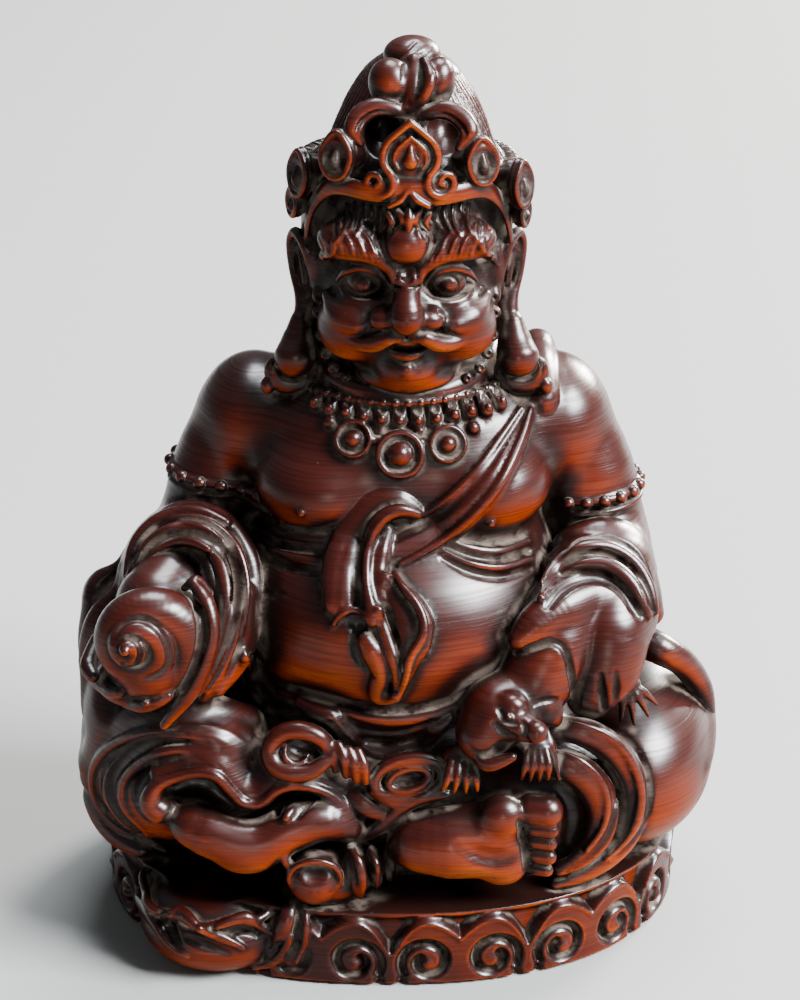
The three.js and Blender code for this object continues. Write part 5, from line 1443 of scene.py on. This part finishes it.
build(middleLeaf)

# hair: strands swept from the knot with deep hollows under them, the knot's lobes and the bun
for side, strand, hollow in (
    (-1, [(0.4, -7.4, 93.8), (-0.9, -7.4, 94.4), (-2.7, -7.4, 94.7), (-4.3, -7.8, 94.0),
        (-5.0, -8.6, 92.8), (-4.3, -9.0, 91.4)], (-2.4, -6.4, 91.5)),
    (1, [(1.0, -7.4, 93.8), (2.7, -7.4, 94.2), (4.5, -7.4, 94.4), (6.0, -7.8, 93.6),
        (6.7, -8.6, 92.5), (5.7, -9.2, 91.0)], (4.5, -6.4, 91.7)),
):
    dent(hollow, (2.1, 4.3, 2.6), blend=0.3)
    limb(strand, (0.5, 0.9, 1.05, 1.1, 1.0, 0.45), blend=0.15, flat=0.75)
    groovePath = [(x - side * 0.3, y - 0.85, z - 0.15) for x, y, z in strand[1:]]
    slit(groovePath, (0.15, 0.22, 0.22, 0.15), blend=0.15)

# webs of wood that hold the middle leaf and the knot to the hair
topKnot = {
    "lowerWeb": (limb, [(0.75, -9.6, 90), (0.8, -4.6, 90.6)], 1.4, 0.5),
    "upperWeb": (limb, [(0.75, -9.2, 92.2), (0.8, -3.8, 92.8)], 1, 0.5),
    "knotWeb": (limb, [(0.95, -4.6, 93.6), (0.95, -3.6, 95.6), (0.95, -1.6, 97)], (2, 2.7, 2.2),
        0.5),
    "leftLobe": (egg, (-1.2, -4.9, 96.4), (2.35, 2.3, 2.75), 0.2, (0, -14, 0)),
    "rightLobe": (egg, (3.4, -4.7, 96.4), (1.95, 2.3, 2.85), 0.2, (0, 14, 0)),
    "tie": (limb, [(1.2, -4, 98.5), (1.1, -5.9, 96.7), (0.8, -7, 94.5)], (0.9, 0.9, 1), 0.4),
    "tieEnd": (limb, [(2.2, -4.6, 98.9), (2.8, -6.9, 97.7), (2.1, -7.6, 95.8), (0.9, -7.6, 94.5)],
        (0.4, 0.6, 0.6, 0.4), 0.3),
    "tieGroove": (slit, [(0.2, -5.4, 98.7), (0.1, -7.2, 97.1), (0.5, -7.8, 95.2)], 0.32, 0.25),
    "bun": (egg, (0.95, 0.2, 98.05), (3, 2.9, 1.95), 0.2),
    "bunGroove": (slit, [(-1.6, -2, 98.6), (0.2, -2.9, 97.9), (2, -2.5, 98.8), (3.2, -1.2, 99.3)],
        (0.2, 0.3, 0.3, 0.2), 0.25),
    "bunTopGroove": (slit, [(-0.9, -2.4, 98), (0.3, -2.2, 99.2), (1.4, -1, 99.9)], 0.18, 0.25),
}
build(topKnot)

# the crown's band goes on, plain, round the back, over the locks
hairLocks()
backWay = around(-0.25, math.pi + 0.25, 25)
limb([(0.4 + 11.0 * c, 1.0 + 11.6 * s, 84.6 + 0.9 * c**2) for c, s in backWay], 1.25, blend=0.2)
for height in (84.05, 85.15):
    groovePath = [(0.4 + 12.155 * c, 1.0 + 12.818 * s, height + 0.9 * c**2) for c, s in backWay]
    slit(groovePath, 0.16, blend=0.12)

# fine strands combed up to the bun, all round
for k in range(7, 53):
    turn = math.radians(-90 + 6 * (k + 0.5))
    c, s = math.cos(turn), math.sin(turn)
    start = (82 if s > -0.3 else 86, 1.0)
    strand = []
    for z, r in (start, (86.5, 0.99), (88.5, 0.92), (90.6, 0.82), (92.8, 0.66), (95.4, 0.42)):
        strand.append((0.9 + 10.4 * r * c, 2.0 + 10.2 * r * s, z + 0.3 * math.sin(7 * k)))
    fine, share = smoothPath(strand, 0.8)
    starts = fine + np.array([2 * c, 2 * s, 0.6])
    aim = np.stack([0.9 - starts[:, 0], 2.0 - starts[:, 1], np.full(len(starts), -2.0)], 1)
    aim = aim / np.linalg.norm(aim, axis=1, keepdims=True)
    r = along((0.12, 0.24 + 0.1 * (k % 2), 0.26, 0.16), share)
    tube(meet(starts, aim, 0, 9), r, 0.25, True)


# From the grids to meshes: each piece is thinned and gets its normals, and its masks for wear, dust
# and painted shade, from the distances.

finish = {
    # from the source's millimetres to the model's, whose box is centred
    "shift": (0.78, 0.54, 0.0),
    "triangles": {
        "base": 190000, "body": 196000, "conch": 60000, "mongoose": 110000, "head": 196000,
    },
    "quickTriangles": 60000,
    "hollowReach": (0.45, 0.9, 1.6),
    "broadReach": (2.4, 3.6, 5.0),
    "edgeReach": (0.35, 0.7, 1.1),
    "metre": 0.001,
}


def nearWood(places):
    value = np.full(len(places), carve["far"], np.float32)
    for block in grids.values():
        value = np.minimum(value, block.sample(places))
    return value


def addWearAndShade(mesh, places, normals):
    def openness(reaches, way):
        total = np.zeros(len(places), np.float32)
        for r in reaches:
            total += np.clip(way * nearWood(places + way * normals * r) / r, 0, 1)
        return total / len(reaches)

    # hollow and broad tell how closed in a place is, as ambient occlusion does: they feed painted
    # shade as well as real dust; edge marks ridges
    hollow = 1 - openness(finish["hollowReach"], 1)
    broad = 1 - openness(finish["broadReach"], 1)
    edge = 1 - openness(finish["edgeReach"], -1)
    wearAndShade = np.ones((len(places), 4), np.float32)
    wearAndShade[:, 0], wearAndShade[:, 1], wearAndShade[:, 2] = hollow, edge, broad
    layer = mesh.attributes.new("wearAndShade", "FLOAT_COLOR", "POINT")
    layer.data.foreach_set("color", wearAndShade.reshape(-1))


def corners(mesh):
    places = np.empty(len(mesh.vertices) * 3, np.float32)
    mesh.vertices.foreach_get("co", places)
    return places.reshape(-1, 3)


def toModel(mesh, places):
    shift = np.array(finish["shift"], np.float32)
    mesh.vertices.foreach_set("co", ((places + shift) * finish["metre"]).reshape(-1))
    mesh.update()


def linked(name, data):
    thing = bpy.data.objects.new(name, data)
    bpy.context.collection.objects.link(thing)
    return thing


def piece(name, mesh, material):
    thing = linked(name, mesh)
    mesh.materials.clear()
    mesh.materials.append(material)
    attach(thing, "root")
    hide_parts(nodeName)
    return thing


def plain(thing):
    evaluated = thing.evaluated_get(bpy.context.evaluated_depsgraph_get())
    mesh = bpy.data.meshes.new_from_object(evaluated)
    bpy.data.objects.remove(thing)
    return mesh


def pieceFromGrid(name, block, material):
    places, quads = skin(block)
    mesh = bpy.data.meshes.new(name)
    mesh.from_pydata(places.tolist(), [], quads.tolist())
    most = finish["triangles"][name]
    thing = linked(name + "Full", mesh)
    if 2 * len(quads) > most:
        thinner = thing.modifiers.new("thinner", "DECIMATE")
        thinner.ratio = most / (2 * len(quads))
    thin = plain(thing)
    where = corners(thin)
    normals = block.slope(where, 0.9 * block.step)
    addWearAndShade(thin, where, normals)
    toModel(thin, where)
    thin.polygons.foreach_set("use_smooth", [True] * len(thin.polygons))
    thin.normals_split_custom_set_from_vertices(normals.tolist())
    thin.name = name
    print(name, "has", len(thin.polygons), "triangles of", 2 * len(quads))
    return piece(name, thin, material)


# Beads on the necklace and the armlets, set along their cords.

beads = {
    "rows": {  # radius, how tall against it, and how many
        "collar": (0.48, 1.0, 19),
        "drops": (0.5, 1.2, 12),
        "armletLeft": (0.76, 0.95, 14),
        "armletRight": (0.76, 0.95, 13),
    },
    "rounds": 3,
    "sizes": (0.9, 1.08),
    "seed": 4,
}


def beadTree():
    tree = bpy.data.node_groups.new("beadRow", "GeometryNodeTree")
    face = tree.interface
    face.new_socket("Geometry", in_out="INPUT", socket_type="NodeSocketGeometry")
    kinds = {"Size": "Float", "Tall": "Float", "Count": "Int", "Wood": "Material"}
    for label, kind in kinds.items():
        face.new_socket(label, in_out="INPUT", socket_type="NodeSocket" + kind)
    face.new_socket("Geometry", in_out="OUTPUT", socket_type="NodeSocketGeometry")

    def node(kind, prefix="GeometryNode"):
        return tree.nodes.new(prefix + kind)

    start, end = node("GroupInput", "Node"), node("GroupOutput", "Node")
    cord, even, ball = node("MeshToCurve"), node("ResampleCurve"), node("MeshIcoSphere")
    place, real = node("InstanceOnPoints"), node("RealizeInstances")
    smooth, paint = node("SetShadeSmooth"), node("SetMaterial")
    scale, vary = node("CombineXYZ", "ShaderNode"), node("VectorMath", "ShaderNode")
    chance = node("RandomValue", "FunctionNode")
    ball.inputs["Subdivisions"].default_value = beads["rounds"]
    chance.data_type = "FLOAT"
    chance.inputs["Min"].default_value, chance.inputs["Max"].default_value = beads["sizes"]
    chance.inputs["Seed"].default_value = beads["seed"]
    vary.operation = "SCALE"
    for axis in ("X", "Y"):
        scale.inputs[axis].default_value = 1.0
    for source, output, target, slot in (
        (start, "Geometry", cord, "Mesh"),
        (cord, "Curve", even, "Curve"),
        (start, "Count", even, "Count"),
        (start, "Size", ball, "Radius"),
        (even, "Curve", place, "Points"),
        (ball, "Mesh", place, "Instance"),
        (start, "Tall", scale, "Z"),
        (scale, "Vector", vary, 0),
        (chance, "Value", vary, "Scale"),
        (vary, "Vector", place, "Scale"),
        (place, "Instances", real, "Geometry"),
        (real, "Geometry", smooth, "Geometry"),
        (smooth, "Geometry", paint, "Geometry"),
        (start, "Wood", paint, "Material"),
        (paint, "Geometry", end, "Geometry"),
    ):
        tree.links.new(source.outputs[output], target.inputs[slot])
    return tree


def beadRow(name, tree, path, size, tall, count, material):
    mesh = bpy.data.meshes.new(name)
    mesh.from_pydata([tuple(p) for p in path], [(i, i + 1) for i in range(len(path) - 1)], [])
    thing = linked(name + "Cord", mesh)
    row = thing.modifiers.new("beads", "NODES")
    row.node_group = tree
    wanted = {"Size": size, "Tall": tall, "Count": count, "Wood": material}
    for item in tree.interface.items_tree:
        if item.in_out == "INPUT" and item.name in wanted:
            row[item.identifier] = wanted[item.name]
    made = plain(thing)
    where = corners(made)
    ways = np.empty(len(made.vertices) * 3, np.float32)
    made.vertex_normals.foreach_get("vector", ways)
    addWearAndShade(made, where, ways.reshape(-1, 3))
    toModel(made, where)
    return made


def allBeads(material):
    tree = beadTree()
    joined = bmesh.new()
    for name, (size, tall, count) in beads["rows"].items():
        joined.from_mesh(beadRow(name, tree, cords[name], size, tall, count, material))
    mesh = bpy.data.meshes.new("beads")
    joined.to_mesh(mesh)
    joined.free()
    return piece("beads", mesh, material)


# The wood: old boxwood stained dark, polished where hands reach, with dust left in its crevices; its
# colour also holds painted shade in hollows and painted warm light on fronts and undersides.

polish = {
    # real grain lines and painted shade both go towards this dark brown
    "dark": (0.0075, 0.0022, 0.0016),
    "red": (0.021, 0.0019, 0.0007),
    # the orange that painted light brings out on fronts and undersides, with edges and random tone
    "warm": (0.160, 0.0165, 0.0002),
    # painted light: the bright glow on the warmest fronts and undersides
    "paintedGlowAmber": (0.32, 0.062, 0.0006),
    "dust": (0.110, 0.088, 0.072),
    "coat": (0.20, 0.95),  # on the sides, and what upward faces have more
    "bend": 1.17,  # index of refraction under the coat
    "coatRoughness": 0.28,
    "noises": {"broad": (55.0, 2.0, 0.55), "fine": (420.0, 4.0, 0.6), "speck": (2600.0, 2.0, 0.6)},
    "grainScale": (85.0, 85.0, 4000.0),  # thin lines level with the ground
    "poreScale": (260.0, 260.0, 5200.0),
    # how warm the colour is: painted light makes fronts and undersides warm and tops dark, painted
    # shade keeps hollows dark, and edges and random tone add some warmth
    "warmthAndPaintedLight": {
        "front": 0.48, "sideways": 0.05, "up": 0.65, "noise": 1.3, "less": 0.62,
        "edge": 0.16, "broad": 0.8, "hollow": 0.5,
    },
    # painted shade: how dark a place is, darker in hollows and broad recesses, a little lighter on
    # edges, with some random tone
    "paintedShade": {"hollow": 1.4, "broad": 0.85, "edge": 0.04, "noise": 0.3, "less": 0.18},
    "rough": {"start": 0.30, "hollow": 0.32, "noise": 0.10, "edge": 0.05, "dust": 0.3},
    "bump": {"grain": 0.6, "pores": 0.6, "noise": 0.3, "strength": 0.5, "distance": 0.00016},
    "grainShare": 0.30,
    "poreShare": 0.25,
    "paintedGlowAmberShare": 0.55,
    "dustShare": 0.8,
    "speckShare": 0.35,
}


class Link:
    def __init__(self, tree, socket):
        self.tree, self.socket = tree, socket

    def math(self, kind, *others, turned=False):
        node = self.tree.nodes.new("ShaderNodeMath")
        node.operation = kind
        values = [self, *others]
        for slot, value in zip(node.inputs, reversed(values) if turned else values):
            feed(self.tree, slot, value)
        return Link(self.tree, node.outputs[0])

    def __add__(self, other):
        return self.math("ADD", other)

    def __sub__(self, other):
        return self.math("SUBTRACT", other)

    def __mul__(self, other):
        return self.math("MULTIPLY", other)

    def __rsub__(self, other):
        return self.math("SUBTRACT", other, turned=True)

    def clamp(self):
        node = self.tree.nodes.new("ShaderNodeClamp")
        feed(self.tree, node.inputs[0], self)
        return Link(self.tree, node.outputs[0])

    def between(self, low, high):
        node = self.tree.nodes.new("ShaderNodeMapRange")
        node.interpolation_type = "SMOOTHSTEP"
        for slot, value in zip(node.inputs, (self, low, high)):
            feed(self.tree, slot, value)
        return Link(self.tree, node.outputs[0])

    def node(self, kind, settings, **sockets):
        made = self.tree.nodes.new(kind)
        for label, value in settings.items():
            setattr(made, label, value)
        for label, value in sockets.items():
            feed(self.tree, made.inputs[label.replace("_", " ")], value)
        return made

    def mix(self, other, share):
        made = self.tree.nodes.new("ShaderNodeMix")
        made.data_type = "RGBA"
        feed(self.tree, made.inputs[0], share)
        feed(self.tree, made.inputs[6], self)
        feed(self.tree, made.inputs[7], other)
        return Link(self.tree, made.outputs[2])


def feed(tree, slot, value):
    if isinstance(value, Link):
        tree.links.new(value.socket, slot)
    elif isinstance(value, tuple) and len(value) == 3 and slot.type == "RGBA":
        slot.default_value = (*value, 1)
    else:
        slot.default_value = value


def woodMaterial():
    made = bpy.data.materials.new("agedBoxwood")
    made.use_nodes = True
    tree = made.node_tree
    shader = tree.nodes["Principled BSDF"]
    start = Link(tree, None)
    place = Link(tree, start.node("ShaderNodeTexCoord", {}).outputs["Object"])
    wearAndShade = start.node("ShaderNodeAttribute", {"attribute_name": "wearAndShade"})
    parts = start.node("ShaderNodeSeparateColor", {}, Color=Link(tree, wearAndShade.outputs["Color"]))
    hollow, edge, broad = (Link(tree, parts.outputs[k]) for k in range(3))
    normal = start.node("ShaderNodeNewGeometry", {})
    axes = start.node("ShaderNodeSeparateXYZ", {}, Vector=Link(tree, normal.outputs["Normal"]))
    up = Link(tree, axes.outputs["Z"])
    front, sideways = (Link(tree, axes.outputs[k]).math("ABSOLUTE") for k in "YX")

    def noise(scale, detail, rough, bend=0.0, vector=place):
        sockets = {"Scale": scale, "Detail": detail, "Roughness": rough, "Distortion": bend}
        made = start.node("ShaderNodeTexNoise", {}, Vector=vector, **sockets)
        return Link(tree, made.outputs["Fac"])

    def stretched(scale):
        return Link(tree, start.node("ShaderNodeMapping", {}, Vector=place, Scale=scale).outputs[0])

    broadNoise, fineNoise, speck = (noise(*polish["noises"][k]) for k in ("broad", "fine", "speck"))
    grainLines = noise(1.0, 3.0, 0.6, 0.3, stretched(polish["grainScale"]))
    grain = grainLines.between(0.42, 0.66)
    pores = noise(1.0, 2.0, 0.5, 0.0, stretched(polish["poreScale"]))

    # painted light: colour warmer on fronts and undersides and darker on tops, by the way each face
    # points; painted shade takes warmth out of hollows
    share = polish["warmthAndPaintedLight"]
    warmthAndPaintedLight = front * share["front"] + sideways * share["sideways"] - up * share["up"]
    warmthAndPaintedLight = warmthAndPaintedLight + broadNoise * share["noise"] - share["less"] + edge * share["edge"]
    warmthAndPaintedLight = (warmthAndPaintedLight - broad * share["broad"] - hollow * share["hollow"]).clamp()
    colour = Link(tree, start.node("ShaderNodeRGB", {}).outputs[0])
    tree.nodes[-1].outputs[0].default_value = (*polish["red"], 1)
    colour = colour.mix(polish["warm"], warmthAndPaintedLight.between(0.15, 0.9))
    # painted light: a bright amber glow where the warmth is highest
    colour = colour.mix(polish["paintedGlowAmber"], warmthAndPaintedLight.between(0.62, 1.0) * polish["paintedGlowAmberShare"])
    lines = grain * polish["grainShare"] + pores.between(0.55, 0.75) * polish["poreShare"]
    colour = colour.mix(polish["dark"], lines.clamp())
    # painted shade: the colour goes dark in hollows and broad recesses
    share = polish["paintedShade"]
    paintedShade = hollow * share["hollow"] + broad * share["broad"] - edge * share["edge"]
    paintedShade = (paintedShade + fineNoise * share["noise"] - share["less"]).between(0.08, 0.66)
    colour = colour.mix(polish["dark"], paintedShade)
    dusty = hollow.between(0.20, 0.70) * fineNoise.between(0.36, 0.60) * (up * 0.35 + 0.75).clamp()
    dusty = dusty * polish["dustShare"]
    colour = colour.mix(polish["dust"], dusty.clamp())
    specks = speck.between(0.70, 0.80) * (up * 0.5 + 0.5).clamp() * polish["speckShare"]
    colour = colour.mix(polish["dust"], specks)
    tree.links.new(colour.socket, shader.inputs["Base Color"])
    share = polish["rough"]
    rough = hollow.between(0.15, 0.7) * share["hollow"] + share["start"]
    rough = rough + fineNoise * share["noise"] - edge * share["edge"] + dusty * share["dust"]
    tree.links.new(rough.socket, shader.inputs["Roughness"])
    coat = (up * polish["coat"][1] + polish["coat"][0]).clamp() * (1.0 - hollow.between(0.1, 0.6))
    coat = coat * (1.1 - grainLines.between(0.40, 0.68) * 0.5)
    tree.links.new(coat.socket, shader.inputs["Coat Weight"])
    shader.inputs["Coat Roughness"].default_value = polish["coatRoughness"]
    shader.inputs["IOR"].default_value = polish["bend"]
    share = polish["bump"]
    height = grainLines * share["grain"] + pores * share["pores"] + fineNoise * share["noise"]
    bump = start.node(
        "ShaderNodeBump", {}, Strength=share["strength"], Distance=share["distance"], Height=height
    )
    tree.links.new(bump.outputs["Normal"], shader.inputs["Normal"])
    return made


# The pieces, the floor, the lights and the camera.

agedBoxwood = woodMaterial()
for name, block in grids.items():
    pieceFromGrid(name, block, agedBoxwood)
allBeads(agedBoxwood)
print("meshes made")


studio = {
    "floor": 4.0,
    "floorColour": (0.235, 0.239, 0.233),
    "floorRoughness": 0.85,
    "sky": (0.80, 0.86, 0.92),
    "skyStrength": 0.22,
    "lights": (
        ("window", (0.62, -0.26, 0.62), (0.01, 0, 0.05), 0.40, 62.0, (0.95, 0.97, 1.0)),
        ("back", (0.52, 0.66, 0.34), (0.01, 0, 0.05), 0.28, 36.0, (1.0, 0.95, 0.88)),
        ("above", (0.10, 0.30, 0.95), (0, 0, 0.05), 0.46, 17.0, (0.90, 0.95, 1.0)),
        ("front", (0.05, -0.90, 0.16), (0, 0, 0.045), 0.25, 1.2, (1.0, 0.93, 0.84)),
    ),
}


def floorMaterial():
    made = bpy.data.materials.new("paleFloor")
    made.use_nodes = True
    shader = made.node_tree.nodes["Principled BSDF"]
    shader.inputs["Base Color"].default_value = (*studio["floorColour"], 1)
    shader.inputs["Roughness"].default_value = studio["floorRoughness"]
    return made


def buildStudio():
    half = studio["floor"]
    mesh = bpy.data.meshes.new("floor")
    places = [(-half, -half, 0), (half, -half, 0), (half, half, 0), (-half, half, 0)]
    mesh.from_pydata(places, [], [(0, 1, 2, 3)])
    mesh.materials.append(floorMaterial())
    floor = linked("floor", mesh)
    world = bpy.data.worlds.new("sky")
    world.use_nodes = True
    sky = world.node_tree.nodes["Background"]
    sky.inputs[0].default_value = (*studio["sky"], 1)
    sky.inputs[1].default_value = studio["skyStrength"]
    bpy.context.scene.world = world
    for name, place, aim, size, power, colour in studio["lights"]:
        lamp = bpy.data.lights.new(name, "AREA")
        lamp.size, lamp.energy, lamp.color = size, power, colour
        thing = linked(name, lamp)
        thing.location = place
        thing.rotation_euler = (Vector(aim) - Vector(place)).to_track_quat("-Z", "Y").to_euler()


def buildCamera():
    shift = Vector(finish["shift"])
    lens = bpy.data.cameras.new("camera")
    lens.sensor_width = sight["sensor"]
    lens.lens = sight["sensor"] * sight["focal"] / sight["tall"]
    lens.clip_start = 0.01
    camera = linked("camera", lens)
    camera.location = (Vector(eye) + shift) * finish["metre"]
    camera.rotation_euler = (-Vector(sightBack)).to_track_quat("-Z", "Y").to_euler()
    bpy.context.scene.camera = camera


buildStudio()
buildCamera()
print("scene ready")
